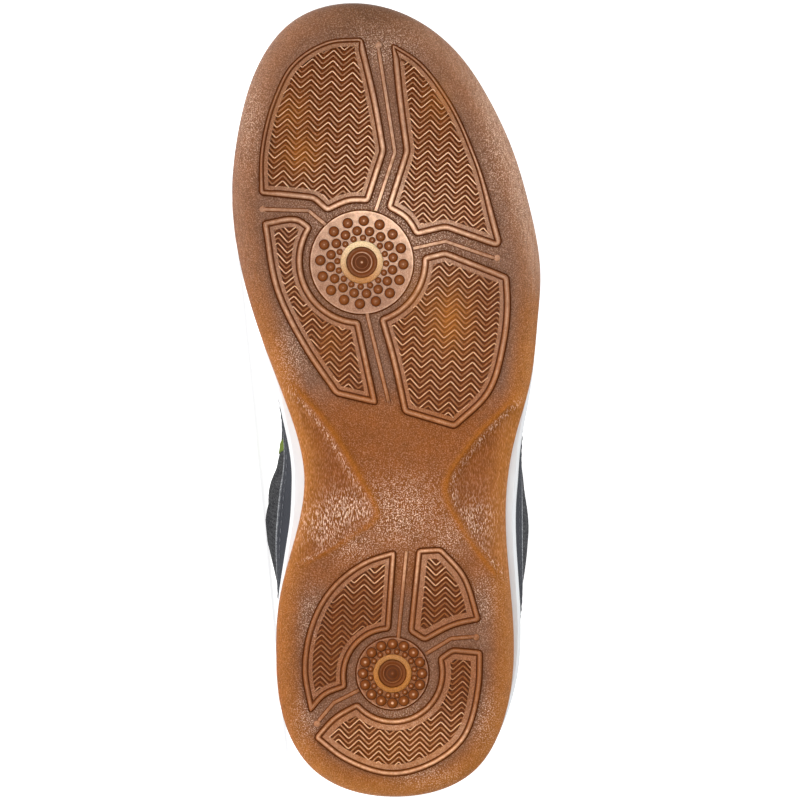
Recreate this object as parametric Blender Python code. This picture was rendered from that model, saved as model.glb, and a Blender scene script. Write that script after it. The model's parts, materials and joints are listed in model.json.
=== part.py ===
"""Left indoor court shoe with a gum tread, lying on its inner side.

The shoe is drawn standing, in millimetres: x runs from the back of the heel to the toe, y to the
outer side of the foot and z up from the floor. The driving sizes turn that drawing into metres, and
an empty lays the whole shoe on its inner side, on the edge of the sole and the bulge of the quarter.
"""
import math

import bmesh
import bpy
import numpy as np
from mathutils import Matrix, Vector
from mathutils.geometry import delaunay_2d_cdt

# Driving sizes, in metres
SOLE_LENGTH = 0.2857
BALL_WIDTH = 0.1109
INSTEP_HEIGHT = 0.0985

# The same three sizes on the drawing, in millimetres
DRAWN_LENGTH = 285.7
DRAWN_BALL = 110.9
DRAWN_INSTEP = 98.5
TO_METRES = np.array((SOLE_LENGTH / DRAWN_LENGTH, BALL_WIDTH / DRAWN_BALL, INSTEP_HEIGHT / DRAWN_INSTEP))

# Clearances, thicknesses and steps of the drawing, in millimetres
GAP = 0.3
TREAD_STEP = 1.2
PANEL_DRAFT = 0.7
DISC_LEVEL = 0.3
DISH_LEVEL = 1.0
OUTSOLE_THICK = 4.5
GUM_WALL = 2.6
GUM_LEAN = 0.5
FLOOR_FILLET = 0.8
LIP_LEAN = 1.2
RIM_DROP = 0.4
UPPER_WALL = 2.4
FOOT_TUCK = 1.5
OVERLAY = 1.2
INSOLE_THICK = 3.5
INSOLE_EDGE = 1.2
TONGUE_THICK = 5.0
TONGUE_EDGE = 2.4
LACE_WIDTH = 6.0
LACE_THICK = 1.4

# Shares: rise of the rolled edge to its width, height of the midsole's belly in its band, lower edge of
# an overlay in its first lane, and where the collar's foam begins and how far up it fills out
ROLL_RISE = 0.9
BELLY_SHARE = 0.45
OVERLAY_HEM = 0.25
FOAM_START = 0.5
FOAM_FADE = 0.35

# Bottom profile of the sole, in millimetres from the back of the heel
HEEL_BEVEL_END = 20.0
HEEL_BEVEL_RISE = 4.0
TOE_SPRING_START = 205.0
TOE_SPRING_RISE = 14.0
ARCH_START = 86.0
ARCH_END = 140.0
ARCH_RISE = 2.5
SCOOP_DEPTH = 3.0
SCOOP_FADE = 6.0

# Facets: angles in degrees, lengths in millimetres
ROLL_ANGLES = (0, 35, 65, 90)
TOP_EDGE_ANGLES = (50, 90, 130)
SHARP_ANGLE = 35
AROUND = 72
LOW_LANE = 4
MIDDLE_LANE = 4
TOP_LANE = 2
PANEL_STEP = 7.0
TREAD_GRID = 13.0
DISC_SIDES = 20
OUTLINE_SAMPLES = 400
MERGE_DISTANCE = 1e-7
INNER_FACING = -0.8
MITRE_LIMIT = 0.6

# Outline of the gum sole, from the toe round the inner side, the heel and the outer side: name, x, y
OUTLINE = (
    ("toe_tip", 285.7, -15.0),
    ("toe_inner", 279.4, -35.6),
    ("big_toe", 265.0, -47.5),
    ("joint_inner", 243.4, -54.7),
    ("ball_inner", 214.6, -57.6),
    ("ball_back_inner", 189.4, -54.3),
    ("arch_front_inner", 160.0, -45.3),
    ("arch_inner", 138.6, -37.2),
    ("waist_inner", 114.5, -31.7),
    ("arch_back_inner", 92.2, -35.3),
    ("heel_front_inner", 70.6, -40.7),
    ("heel_inner", 50.0, -41.8),
    ("heel_turn_inner", 25.5, -38.3),
    ("heel_corner_inner", 10.3, -29.0),
    ("heel_back", 0.0, 1.5),
    ("heel_corner_outer", 10.3, 30.4),
    ("heel_turn_outer", 25.5, 39.3),
    ("heel_outer", 50.0, 43.6),
    ("heel_front_outer", 75.0, 42.4),
    ("waist_outer", 102.0, 40.7),
    ("arch_outer", 128.2, 43.9),
    ("arch_front_outer", 149.8, 49.7),
    ("ball_back_outer", 171.4, 52.2),
    ("ball_outer", 187.0, 53.2),
    ("joint_outer", 212.0, 49.3),
    ("little_toe", 232.6, 43.2),
    ("toe_side_outer", 250.6, 34.9),
    ("toe_turn_outer", 267.0, 24.0),
    ("toe_outer", 279.4, 9.0),
)

# Side of the sole along its length. roll: width of the rounded edge of the tread. gum_top: height of
# the gum wall. lip: how far the midsole stands out past the gum. seat: how far inside the gum outline
# the upper enters the midsole, at the height bite.
SIDE_COLUMNS = ("x", "roll", "gum_top", "lip_inner", "lip_outer", "seat_inner", "seat_outer", "bite")
SIDE = (
    (0.0, 5.5, 15.0, -0.6, -0.6, 5.5, 5.5, 31.0),
    (25.0, 6.2, 14.0, -0.5, 0.5, 5.5, 5.0, 30.0),
    (50.0, 6.5, 13.0, -0.3, 2.3, 5.0, 3.0, 29.0),
    (75.0, 5.5, 12.2, 0.8, 3.2, 3.5, 1.5, 28.0),
    (95.0, 4.0, 11.8, 3.0, 3.6, 1.0, 0.6, 27.0),
    (112.0, 3.5, 11.8, 4.6, 3.8, -0.8, 0.4, 26.5),
    (130.0, 4.0, 12.0, 3.8, 2.4, 0.0, 1.5, 25.5),
    (150.0, 6.0, 12.2, 1.5, 0.6, 2.5, 3.5, 24.0),
    (175.0, 7.5, 12.5, -0.4, -0.5, 4.8, 4.8, 22.0),
    (215.0, 8.0, 13.5, -0.6, -0.6, 5.2, 5.2, 21.5),
    (250.0, 9.0, 19.0, -0.8, -0.8, 6.0, 6.0, 24.5),
    (275.0, 10.0, 26.5, -1.2, -1.2, 7.0, 7.0, 30.5),
    (285.7, 10.0, 29.5, -1.4, -1.4, 7.5, 7.5, 33.5),
)

# Bed that the foot lies on: x, z
FOOTBED = ((0.0, 24.0), (40.0, 22.5), (90.0, 20.0), (150.0, 15.0), (190.0, 13.0), (215.0, 13.2), (250.0, 16.5),
           (285.7, 23.0))

# Sections of the last, one for each named station of the outline. The wall leaves the bite line by
# out_low and up_low and reaches the top edge from out_high and down_high. fox and eye are the shares of
# the wall where the lower overlays end and the eyestay begins, and foam is the padding of the collar.
RIB_COLUMNS = ("top_x", "top_y", "top_z", "out_low", "up_low", "out_high", "down_high", "fox", "eye", "foam")
RIBS = {
    "toe_tip": (197.0, -4.0, 66.0, 2.0, 16.0, 46.0, 7.0, 0.30, 0.87, 0.0),
    "big_toe": (194.5, -11.0, 66.8, 3.0, 17.0, 38.0, 8.0, 0.25, 0.85, 0.0),
    "joint_inner": (190.0, -14.0, 68.5, 3.0, 18.0, 26.0, 9.0, 0.15, 0.82, 0.0),
    "ball_inner": (180.0, -15.5, 72.5, 3.0, 18.0, 20.0, 9.0, 0.09, 0.79, 0.0),
    "ball_back_inner": (167.0, -16.5, 78.0, 4.0, 19.0, 17.0, 9.0, 0.09, 0.79, 0.0),
    "arch_front_inner": (150.0, -17.5, 85.0, 8.0, 20.0, 16.0, 10.0, 0.11, 0.80, 0.0),
    "arch_inner": (134.0, -18.5, 91.5, 10.0, 24.0, 21.0, 14.0, 0.18, 0.82, 0.0),
    "waist_inner": (117.0, -21.5, 98.0, 15.0, 28.0, 28.0, 20.0, 0.23, 0.83, 1.0),
    "arch_back_inner": (98.0, -35.0, 90.0, 14.5, 25.0, 18.0, 22.0, 0.27, 0.80, 3.5),
    "heel_front_inner": (77.0, -38.5, 77.0, 5.5, 20.0, 5.0, 16.0, 0.36, 0.78, 4.5),
    "heel_inner": (54.0, -37.5, 71.0, 2.0, 18.0, 2.5, 14.0, 0.50, 0.76, 4.5),
    "heel_turn_inner": (30.0, -31.0, 74.5, 2.5, 18.0, 3.0, 14.0, 0.62, 0.78, 4.5),
    "heel_corner_inner": (16.0, -19.5, 80.0, 3.5, 18.0, 3.0, 15.0, 0.64, 0.80, 4.5),
    "heel_back": (9.5, 1.0, 84.5, 4.0, 18.0, 3.0, 16.0, 0.64, 0.82, 4.5),
    "heel_corner_outer": (16.0, 21.5, 80.0, 3.5, 18.0, 3.0, 15.0, 0.64, 0.80, 4.5),
    "heel_turn_outer": (30.0, 33.0, 73.5, 3.0, 18.0, 3.0, 14.0, 0.62, 0.78, 4.5),
    "heel_outer": (54.0, 40.0, 70.0, 3.0, 18.0, 3.0, 14.0, 0.50, 0.76, 4.5),
    "heel_front_outer": (78.0, 41.5, 75.0, 9.0, 20.0, 8.0, 16.0, 0.36, 0.78, 4.5),
    "waist_outer": (99.0, 36.0, 90.0, 12.0, 24.0, 17.0, 22.0, 0.26, 0.80, 3.5),
    "arch_outer": (119.0, 20.5, 98.0, 9.0, 26.0, 24.0, 18.0, 0.21, 0.83, 1.0),
    "arch_front_outer": (140.0, 15.0, 89.5, 6.0, 20.0, 17.0, 10.0, 0.12, 0.80, 0.0),
    "ball_back_outer": (158.0, 12.0, 82.0, 4.0, 19.0, 20.0, 10.0, 0.09, 0.79, 0.0),
    "ball_outer": (171.0, 10.0, 76.5, 3.0, 18.0, 21.0, 9.0, 0.09, 0.79, 0.0),
    "joint_outer": (184.0, 7.0, 71.0, 3.0, 18.0, 24.0, 9.0, 0.12, 0.81, 0.0),
    "little_toe": (191.0, 3.5, 68.0, 3.0, 17.0, 29.0, 9.0, 0.19, 0.83, 0.0),
    "toe_turn_outer": (196.5, -0.5, 66.3, 3.0, 17.0, 40.0, 8.0, 0.27, 0.86, 0.0),
}

# The two pivot discs of the tread: x, y, radius, and the radius of the dish in the middle
BALL_DISC = (192.0, -11.0, 18.4, 5.8)
HEEL_DISC = (44.5, 0.0, 12.8, 5.0)

# Outlines of the tread panels: x, y and what the outline does there. A run of bends is one smooth
# curve from corner to corner, and a round corner is followed by an arc about the panel's disc.
CORNER, BEND, ROUND = "corner", "bend", "round"
PANELS = {
    "toe_inner": (BALL_DISC, (
        (272.5, -11.0, CORNER), (271.5, -22.5, BEND), (263.0, -36.0, BEND), (250.5, -42.5, BEND),
        (232.0, -47.0, BEND), (216.5, -47.5, CORNER), (214.5, -28.5, CORNER), (210.0, -23.5, CORNER),
        (213.5, -15.0, BEND), (213.5, -8.5, CORNER), (232.0, -2.5, CORNER), (249.0, -5.5, BEND))),
    "toe_outer": (BALL_DISC, (
        (270.5, 0.0, CORNER), (265.0, 8.5, BEND), (250.5, 20.0, BEND), (229.0, 30.0, BEND),
        (199.0, 39.0, CORNER), (197.5, 37.5, CORNER), (204.0, 19.0, CORNER), (201.5, 8.5, CORNER),
        (207.5, 4.5, BEND), (211.5, -2.0, CORNER), (232.0, 4.5, CORNER), (250.5, 2.0, BEND))),
    "ball_inner": (BALL_DISC, (
        (206.5, -46.5, CORNER), (207.5, -33.0, BEND), (204.5, -29.0, ROUND), (171.0, -12.0, CORNER),
        (141.0, -5.5, CORNER), (144.5, -20.5, CORNER), (161.5, -32.0, BEND), (182.0, -42.0, BEND))),
    "ball_outer": (BALL_DISC, (
        (194.0, 11.0, CORNER), (196.0, 19.0, CORNER), (187.0, 41.5, CORNER), (177.0, 42.0, BEND),
        (162.5, 40.5, BEND), (145.0, 35.0, BEND), (132.5, 22.5, CORNER), (138.0, 4.0, CORNER),
        (158.0, -0.5, BEND), (172.0, -4.5, ROUND))),
    "heel_inner": (HEEL_DISC, (
        (88.5, 1.0, CORNER), (85.0, -9.5, BEND), (73.5, -23.5, BEND), (56.0, -31.0, BEND),
        (45.5, -32.0, BEND), (30.5, -29.5, CORNER), (36.5, -24.0, BEND), (39.5, -16.5, ROUND),
        (60.0, -1.0, CORNER))),
    "heel_outer": (HEEL_DISC, (
        (89.0, 9.0, CORNER), (89.5, 17.5, CORNER), (80.5, 25.5, BEND), (63.5, 31.5, CORNER),
        (61.5, 22.5, BEND), (56.0, 11.5, CORNER), (59.5, 6.0, CORNER))),
    "heel_back": (HEEL_DISC, (
        (50.0, 16.5, CORNER), (53.5, 21.5, CORNER), (52.5, 32.0, CORNER), (40.0, 31.5, BEND),
        (20.5, 25.5, BEND), (8.0, 0.0, BEND), (13.5, -17.5, BEND), (21.5, -28.0, CORNER),
        (29.0, -21.0, BEND), (34.0, -12.5, ROUND))),
}

# Ridges where the bridge of the waist drops into the scooped sides: x, y
SCOOP_INNER = ((81.0, -36.0), (92.0, -17.0), (101.5, -5.5), (115.5, -12.0), (136.0, -25.0), (152.0, -40.0))
SCOOP_OUTER = ((76.0, 40.0), (94.5, 26.5), (111.0, 19.0), (127.0, 28.0), (146.0, 47.0))

# Tongue, from its end under the vamp to its free top: x, y of the middle, z of the crown, half width
# and how far the sides droop
TONGUE = (
    (205.0, -4.0, 60.0, 16.0, 6.0),
    (197.0, -4.2, 62.8, 18.0, 8.0),
    (188.0, -4.2, 67.8, 20.0, 11.0),
    (170.0, -3.5, 76.6, 22.0, 13.0),
    (150.0, -2.0, 85.4, 23.0, 13.5),
    (130.0, -0.5, 94.0, 24.0, 14.0),
    (112.0, 0.0, 101.4, 24.0, 13.0),
    (99.0, 0.0, 106.0, 24.0, 12.0),
    (91.0, 0.0, 108.0, 21.0, 9.0),
)
TONGUE_ACROSS = 8

# Rows of eyelets, by the place on the throat's edge that each row is level with, and the lace's route
# over the eyestay: shares of its width at the eyelet and past its edge, then heights over the upper
EYELET_ROWS = (184.0, 172.0, 160.0, 148.0, 136.0, 124.0)
EYELET_PLACE = 0.45
EDGE_PLACE = 1.2
LACE_LIFT = 3.1
LACE_OVER = 0.45
LACE_DIP = 2.2

# Base colour, roughness and metallic value of each material
MATERIALS = {
    "gum_rubber": ((0.36, 0.13, 0.035), 0.45, 0.0),
    "white_foam": ((0.80, 0.80, 0.78), 0.60, 0.0),
    "insole_foam": ((0.05, 0.05, 0.06), 0.85, 0.0),
    "mesh_textile": ((0.045, 0.048, 0.055), 0.90, 0.0),
    "slate_synthetic": ((0.06, 0.068, 0.095), 0.55, 0.0),
    "lace_cord": ((0.03, 0.03, 0.034), 0.85, 0.0),
}

# Densities that place the weight when the shoe is laid down, in kilograms per cubic metre
DENSITY = {"gum_rubber": 1200, "white_foam": 1200, "insole_foam": 300, "mesh_textile": 300,
           "slate_synthetic": 900, "lace_cord": 300}


def smooth_between(xs, ys, x):
    """Value at x on a curve through the rows of a table that never overshoots them."""
    xs = np.asarray(xs, float)
    ys = np.asarray(ys, float)
    step = np.diff(xs)
    grade = np.diff(ys) / step
    tangent = np.zeros(len(xs))
    both = grade[:-1] * grade[1:]
    total = grade[:-1] + grade[1:]
    tangent[1:-1] = np.where(both > 0, 2 * both / np.where(total == 0, 1, total), 0)
    tangent[0] = grade[0]
    tangent[-1] = grade[-1]
    x = np.clip(x, xs[0], xs[-1])
    row = np.clip(np.searchsorted(xs, x, side="right") - 1, 0, len(step) - 1)
    t = (x - xs[row]) / step[row]
    rise = ys[row] * (1 + 2 * t) * (1 - t) ** 2 + ys[row + 1] * t * t * (3 - 2 * t)
    return rise + step[row] * (tangent[row] * t * (1 - t) ** 2 - tangent[row + 1] * t * t * (1 - t))


def closed_spline(knots, values, period, at):
    """Points at the given parameters of a smooth closed curve through values at the knots."""
    knots = np.asarray(knots, float)
    values = np.asarray(values, float)
    count = len(knots)
    span = np.diff(np.append(knots, knots[0] + period))
    grade = (np.roll(values, -1, 0) - values) / span[:, None]
    system = np.zeros((count, count))
    for row in range(count):
        system[row, row - 1] += span[row - 1]
        system[row, row] += 2 * (span[row - 1] + span[row])
        system[row, (row + 1) % count] += span[row]
    bend = np.linalg.solve(system, 6 * (grade - np.roll(grade, 1, 0)))
    at = np.mod(np.asarray(at, float) - knots[0], period) + knots[0]
    row = np.clip(np.searchsorted(knots, at, side="right") - 1, 0, count - 1)
    after = (row + 1) % count
    h = span[row][:, None]
    s = (at - knots[row])[:, None]
    r = h - s
    cubic = (bend[row] * r ** 3 + bend[after] * s ** 3) / (6 * h)
    return cubic + (values[row] / h - bend[row] * h / 6) * r + (values[after] / h - bend[after] * h / 6) * s


def smooth_step(t):
    """Soft step from 0 to 1."""
    t = np.clip(t, 0.0, 1.0)
    return t * t * (3 - 2 * t)


def column(table, columns, name):
    """One named column of a table."""
    return [row[columns.index(name)] for row in table]


# Stations round the outline, half of them down each side from the toe to the heel

def outline_stations():
    """Knots of the named stations, and the parameter, place and outward direction of each facet line."""
    points = np.array([row[1:] for row in OUTLINE])
    chords = np.linalg.norm(np.roll(points, -1, 0) - points, axis=1)
    knots = np.concatenate(((0.0,), np.cumsum(chords)[:-1]))
    period = chords.sum()
    heel = knots[[row[0] for row in OUTLINE].index("heel_back")]
    half = AROUND // 2
    params = []
    for start, end in ((0.0, heel), (heel, period)):
        fine = np.linspace(start, end, OUTLINE_SAMPLES)
        walk = closed_spline(knots, points, period, fine)
        length = np.concatenate(((0.0,), np.cumsum(np.linalg.norm(np.diff(walk, axis=0), axis=1))))
        params.append(np.interp(np.arange(half) * length[-1] / half, length, fine))
    params = np.concatenate(params)
    place = closed_spline(knots, points, period, params)
    nudge = period / OUTLINE_SAMPLES
    ahead = closed_spline(knots, points, period, params + nudge)
    behind = closed_spline(knots, points, period, params - nudge)
    along = (ahead - behind) / np.linalg.norm(ahead - behind, axis=1)[:, None]
    outward = np.stack((-along[:, 1], along[:, 0]), axis=1)
    return dict(zip((row[0] for row in OUTLINE), knots)), period, params, place, outward


KNOTS, PERIOD, STATION, PLAN, OUTWARD = outline_stations()
INNER_HALF = np.arange(AROUND) < AROUND // 2


def side(name):
    """A column of the sole's side at every station, taking the inner or outer one where there are two."""
    xs = column(SIDE, SIDE_COLUMNS, "x")
    if name in SIDE_COLUMNS:
        return smooth_between(xs, column(SIDE, SIDE_COLUMNS, name), PLAN[:, 0])
    inner = smooth_between(xs, column(SIDE, SIDE_COLUMNS, name + "_inner"), PLAN[:, 0])
    outer = smooth_between(xs, column(SIDE, SIDE_COLUMNS, name + "_outer"), PLAN[:, 0])
    return np.where(INNER_HALF, inner, outer)


def ring(inset, height):
    """Loop of points at an inset from the outline, at a height."""
    flat = PLAN - OUTWARD * np.broadcast_to(inset, AROUND)[:, None]
    return np.column_stack((flat, np.broadcast_to(height, AROUND)))


def ground(x):
    """Height of the tread's wearing face: heel bevel, flat heel, arch, flat ball and toe spring."""
    heel = HEEL_BEVEL_RISE * np.clip(1 - x / HEEL_BEVEL_END, 0, None) ** 2
    toe_run = DRAWN_LENGTH - TOE_SPRING_START
    toe = TOE_SPRING_RISE * (np.clip(x - TOE_SPRING_START, 0, None) / toe_run) ** 2
    arch = np.sin(math.pi * np.clip((x - ARCH_START) / (ARCH_END - ARCH_START), 0, 1)) ** 2
    return heel + toe + ARCH_RISE * arch


def scoop(x, y):
    """Depth of the scooped sides of the waist, outside the two ridges."""
    depth = np.zeros(np.shape(x))
    for ridge, sign in ((SCOOP_INNER, -1), (SCOOP_OUTER, 1)):
        xs, ys = np.array(ridge).T
        past = sign * (y - smooth_between(xs, ys, x))
        within = smooth_step((x - xs[0]) / SCOOP_FADE) * smooth_step((xs[-1] - x) / SCOOP_FADE)
        depth = np.maximum(depth, SCOOP_DEPTH * within * smooth_step(past / SCOOP_FADE))
    return depth


def tread_base(x, y):
    """Height of the ground between the tread panels."""
    return ground(x) + TREAD_STEP + scoop(x, y)


def footbed(x):
    """Height of the midsole's bed."""
    xs, zs = zip(*FOOTBED)
    return smooth_between(xs, zs, x)


# Materials and solids

def make_material(name):
    """Plain material from the table."""
    colour, roughness, metallic = MATERIALS[name]
    material = bpy.data.materials.new(name)
    material.use_nodes = True
    shader = material.node_tree.nodes["Principled BSDF"]
    shader.inputs["Base Color"].default_value = (*colour, 1.0)
    shader.inputs["Roughness"].default_value = roughness
    shader.inputs["Metallic"].default_value = metallic
    return material


def make_solid(name, points, faces, material):
    """A closed mesh object from drawn points, scaled to metres, under the shoe's empty."""
    mesh = bpy.data.meshes.new(name)
    mesh.from_pydata((np.asarray(points) * TO_METRES).tolist(), [], faces)
    work = bmesh.new()
    work.from_mesh(mesh)
    bmesh.ops.remove_doubles(work, verts=work.verts, dist=MERGE_DISTANCE)
    bmesh.ops.recalc_face_normals(work, faces=work.faces)
    work.to_mesh(mesh)
    work.free()
    mesh.shade_smooth()
    mesh.set_sharp_from_angle(angle=math.radians(SHARP_ANGLE))
    solid = bpy.data.objects.new(name, mesh)
    solid.data.materials.append(bpy.data.materials[material])
    solid.parent = bpy.data.objects["shoe"]
    bpy.context.scene.collection.objects.link(solid)
    return solid


def wall_faces(rows, across, start=0, closed=True):
    """Quads of a grid of rows of points, closed round each row where asked."""
    faces = []
    for row in range(rows - 1):
        for i in range(across if closed else across - 1):
            j = (i + 1) % across
            low = start + row * across
            faces.append((low + i, low + j, low + across + j, low + across + i))
    return faces


def ladder_faces(start, count):
    """Cap of a loop by rungs from its first half to its second half."""
    faces = [(start, start + 1, start + count - 1)]
    for i in range(1, count // 2 - 1):
        faces.append((start + i, start + i + 1, start + count - i - 1, start + count - i))
    half = count // 2
    faces.append((start + half - 1, start + half, start + half + 1))
    return faces


def stacked_solid(name, rings, material):
    """Solid of stacked loops, capped at the first and the last."""
    count = len(rings[0])
    faces = wall_faces(len(rings), count)
    faces += ladder_faces(0, count) + ladder_faces((len(rings) - 1) * count, count)
    return make_solid(name, np.concatenate(rings), faces, material)


# Tread

def curve_through(points, step):
    """Points along a smooth open curve through the given ones, without the last."""
    points = np.asarray(points, float)
    if len(points) == 2:
        return points[:1]
    chord = np.concatenate(((0.0,), np.cumsum(np.linalg.norm(np.diff(points, axis=0), axis=1))))
    tangent = np.gradient(points, chord, axis=0)
    count = max(2, int(round(chord[-1] / step)))
    at = np.linspace(0, chord[-1], count + 1)[:-1]
    row = np.clip(np.searchsorted(chord, at, side="right") - 1, 0, len(points) - 2)
    h = (chord[row + 1] - chord[row])[:, None]
    t = (at - chord[row])[:, None] / h
    rise = points[row] * (1 + 2 * t) * (1 - t) ** 2 + points[row + 1] * t * t * (3 - 2 * t)
    return rise + h * (tangent[row] * t * (1 - t) ** 2 - tangent[row + 1] * t * t * (1 - t))


def arc_about(disc, start, end, step):
    """Points of an arc about a disc's centre, the short way round, without the last."""
    centre = np.array(disc[:2])
    first, last = (math.atan2(*(np.array(p) - centre)[::-1]) for p in (start, end))
    turn = (last - first + math.pi) % (2 * math.pi) - math.pi
    radii = [np.linalg.norm(np.array(p) - centre) for p in (start, end)]
    count = max(3, int(round(abs(turn) * radii[0] / step)))
    t = np.arange(count) / count
    radius = radii[0] + (radii[1] - radii[0]) * t
    return centre + np.column_stack((np.cos(first + turn * t), np.sin(first + turn * t))) * radius[:, None]


def panel_loop(disc, rows, step):
    """Closed outline of a tread panel."""
    corners = [i for i, row in enumerate(rows) if row[2] != BEND]
    runs = []
    for i, start in enumerate(corners):
        end = corners[(i + 1) % len(corners)]
        stop = end if end > start else end + len(rows)
        run = [rows[k % len(rows)][:2] for k in range(start, stop + 1)]
        if rows[start][2] == ROUND:
            runs.append(arc_about(disc, run[0], run[-1], step))
        else:
            runs.append(curve_through(run, step))
    return np.concatenate(runs)


def shifted(loop, distance):
    """Closed loop moved outwards by a distance."""
    before = np.roll(loop, 1, 0)
    after = np.roll(loop, -1, 0)
    area = np.sum(loop[:, 0] * after[:, 1] - after[:, 0] * loop[:, 1])
    sign = 1 if area > 0 else -1
    first = (loop - before) / np.linalg.norm(loop - before, axis=1)[:, None]
    second = (after - loop) / np.linalg.norm(after - loop, axis=1)[:, None]
    normals = [np.stack((d[:, 1], -d[:, 0]), axis=1) * sign for d in (first, second)]
    bisector = normals[0] + normals[1]
    bisector /= np.maximum(np.sum(bisector * normals[0], axis=1), MITRE_LIMIT)[:, None]
    return loop + bisector * distance


def circle(disc, radius):
    """Loop of a round of the tread."""
    angles = np.arange(DISC_SIDES) * 2 * math.pi / DISC_SIDES
    return np.array(disc[:2]) + radius * np.column_stack((np.cos(angles), np.sin(angles)))


def inside(loop, point):
    """Whether a point lies in a closed loop."""
    after = np.roll(loop, -1, 0)
    crosses = (loop[:, 1] > point[1]) != (after[:, 1] > point[1])
    rise = np.where(after[:, 1] == loop[:, 1], 1, after[:, 1] - loop[:, 1])
    at = loop[:, 0] + (point[1] - loop[:, 1]) / rise * (after[:, 0] - loop[:, 0])
    return np.sum(crosses & (at > point[0])) % 2 == 1


def tread_surface(edge):
    """Points and triangles of the tread inside its edge, with each panel and disc a step proud."""
    loops = [(edge, TREAD_STEP)]
    for disc, rows in PANELS.values():
        panel = panel_loop(disc, rows, PANEL_STEP)
        loops.append((shifted(panel, PANEL_DRAFT), TREAD_STEP))
        loops.append((panel, 0.0))
    for disc in (BALL_DISC, HEEL_DISC):
        loops.append((circle(disc, disc[2] + PANEL_DRAFT), TREAD_STEP))
        loops.append((circle(disc, disc[2]), DISC_LEVEL))
        loops.append((circle(disc, disc[3]), DISC_LEVEL))
        loops.append((circle(disc, disc[3] - PANEL_DRAFT), DISH_LEVEL))
    points = []
    levels = []
    edges = []
    for loop, level in loops:
        start = len(points)
        edges += [(start + i, start + (i + 1) % len(loop)) for i in range(len(loop))]
        points += [tuple(p) for p in loop]
        levels += [level] * len(loop)
    taken = np.array(points)
    lows = edge.min(axis=0)
    highs = edge.max(axis=0)
    clear = TREAD_GRID / 3
    for x in np.arange(lows[0], highs[0], TREAD_GRID):
        for y in np.arange(lows[1], highs[1], TREAD_GRID):
            near = np.min(np.linalg.norm(taken - (x, y), axis=1))
            if inside(edge, (x, y)) and near > clear:
                holders = [level for loop, level in loops[1:] if inside(loop, (x, y))]
                points.append((x, y))
                levels.append(holders[-1] if holders else TREAD_STEP)
    flat, _, triangles, origins, _, _ = delaunay_2d_cdt([Vector(p) for p in points], edges, [], 1, 1e-5)
    flat = np.array([tuple(p) for p in flat])
    level = np.array([levels[o[0]] for o in origins])
    dip = np.where(level == TREAD_STEP, scoop(flat[:, 0], flat[:, 1]), 0.0)
    return np.column_stack((flat, ground(flat[:, 0]) + level + dip)), [tuple(t) for t in triangles]


def make_outsole():
    """Gum outsole: tread, rolled edge, low wall and the floor inside it."""
    roll = side("roll")
    edge = ring(roll, 0.0)
    low = tread_base(edge[:, 0], edge[:, 1])
    rings = []
    for angle in np.radians(ROLL_ANGLES):
        inset = roll * (1 - math.sin(angle))
        rings.append(ring(inset, low + ROLL_RISE * roll * (1 - math.cos(angle))))
    rings.append(ring(GUM_LEAN, side("gum_top")))
    rings.append(ring(GUM_WALL, side("gum_top")))
    rings.append(outsole_floor(0.0))
    tread, triangles = tread_surface(edge[:, :2])
    points = np.concatenate((tread, *rings))
    start = len(tread)
    faces = triangles + wall_faces(len(rings), AROUND, start)
    faces += ladder_faces(start + (len(rings) - 1) * AROUND, AROUND)
    return make_solid("outsole", points, faces, "gum_rubber")


def outsole_floor(clearance):
    """Edge of the floor inside the gum wall, or of what sits on it with a clearance."""
    loop = ring(GUM_WALL + FLOOR_FILLET + clearance, 0.0)
    loop[:, 2] = ground(loop[:, 0]) + TREAD_STEP + OUTSOLE_THICK + clearance
    return loop


def make_midsole():
    """White midsole: seated in the gum wall, standing out over it at the waist, cupped for the upper."""
    gum_top = side("gum_top") + GAP
    lip = side("lip")
    bite = side("bite") - RIM_DROP
    belly = gum_top + BELLY_SHARE * (bite - gum_top)
    bed = footbed_ring(-GAP)
    bed[:, 2] -= GAP
    rings = (
        outsole_floor(GAP),
        ring(GUM_WALL + GAP, gum_top),
        ring(-lip + LIP_LEAN, gum_top),
        ring(-lip, belly),
        ring(-lip + LIP_LEAN, bite),
        ring(side("seat") - GAP, bite),
        bed,
    )
    return stacked_solid("midsole", rings, "white_foam")


def footbed_ring(inset):
    """Foot of the upper's outer wall on the bed, moved in by an inset."""
    loop = ring(side("seat") + FOOT_TUCK + inset, 0.0)
    loop[:, 2] = footbed(loop[:, 0]) + GAP
    return loop


def make_insole():
    """Insole inside the upper, on the midsole's bed."""
    low = footbed_ring(UPPER_WALL + GAP + INSOLE_EDGE)
    middle = footbed_ring(UPPER_WALL + GAP)
    high = footbed_ring(UPPER_WALL + GAP + INSOLE_EDGE)
    middle[:, 2] += INSOLE_THICK / 2
    high[:, 2] += INSOLE_THICK
    return stacked_solid("insole", (low, middle, high), "insole_foam")


# Upper

def rib(name):
    """A column of the table of sections, at every station."""
    knots = [KNOTS[station] for station in RIBS]
    values = np.array([[row[RIB_COLUMNS.index(name)]] for row in RIBS.values()])
    return closed_spline(knots, values, PERIOD, STATION)[:, 0]


def wall_shares():
    """Shares of the wall's height at every station, with the overlays' edges on lines of the grid."""
    fox = rib("fox")[:, None]
    eye = rib("eye")[:, None]
    low = fox * np.linspace(0, 1, LOW_LANE + 1)
    middle = fox + (eye - fox) * np.linspace(0, 1, MIDDLE_LANE + 1)[1:]
    top = eye + (1 - eye) * np.linspace(0, 1, TOP_LANE + 1)[1:]
    return np.concatenate((low, middle, top), axis=1)


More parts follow.
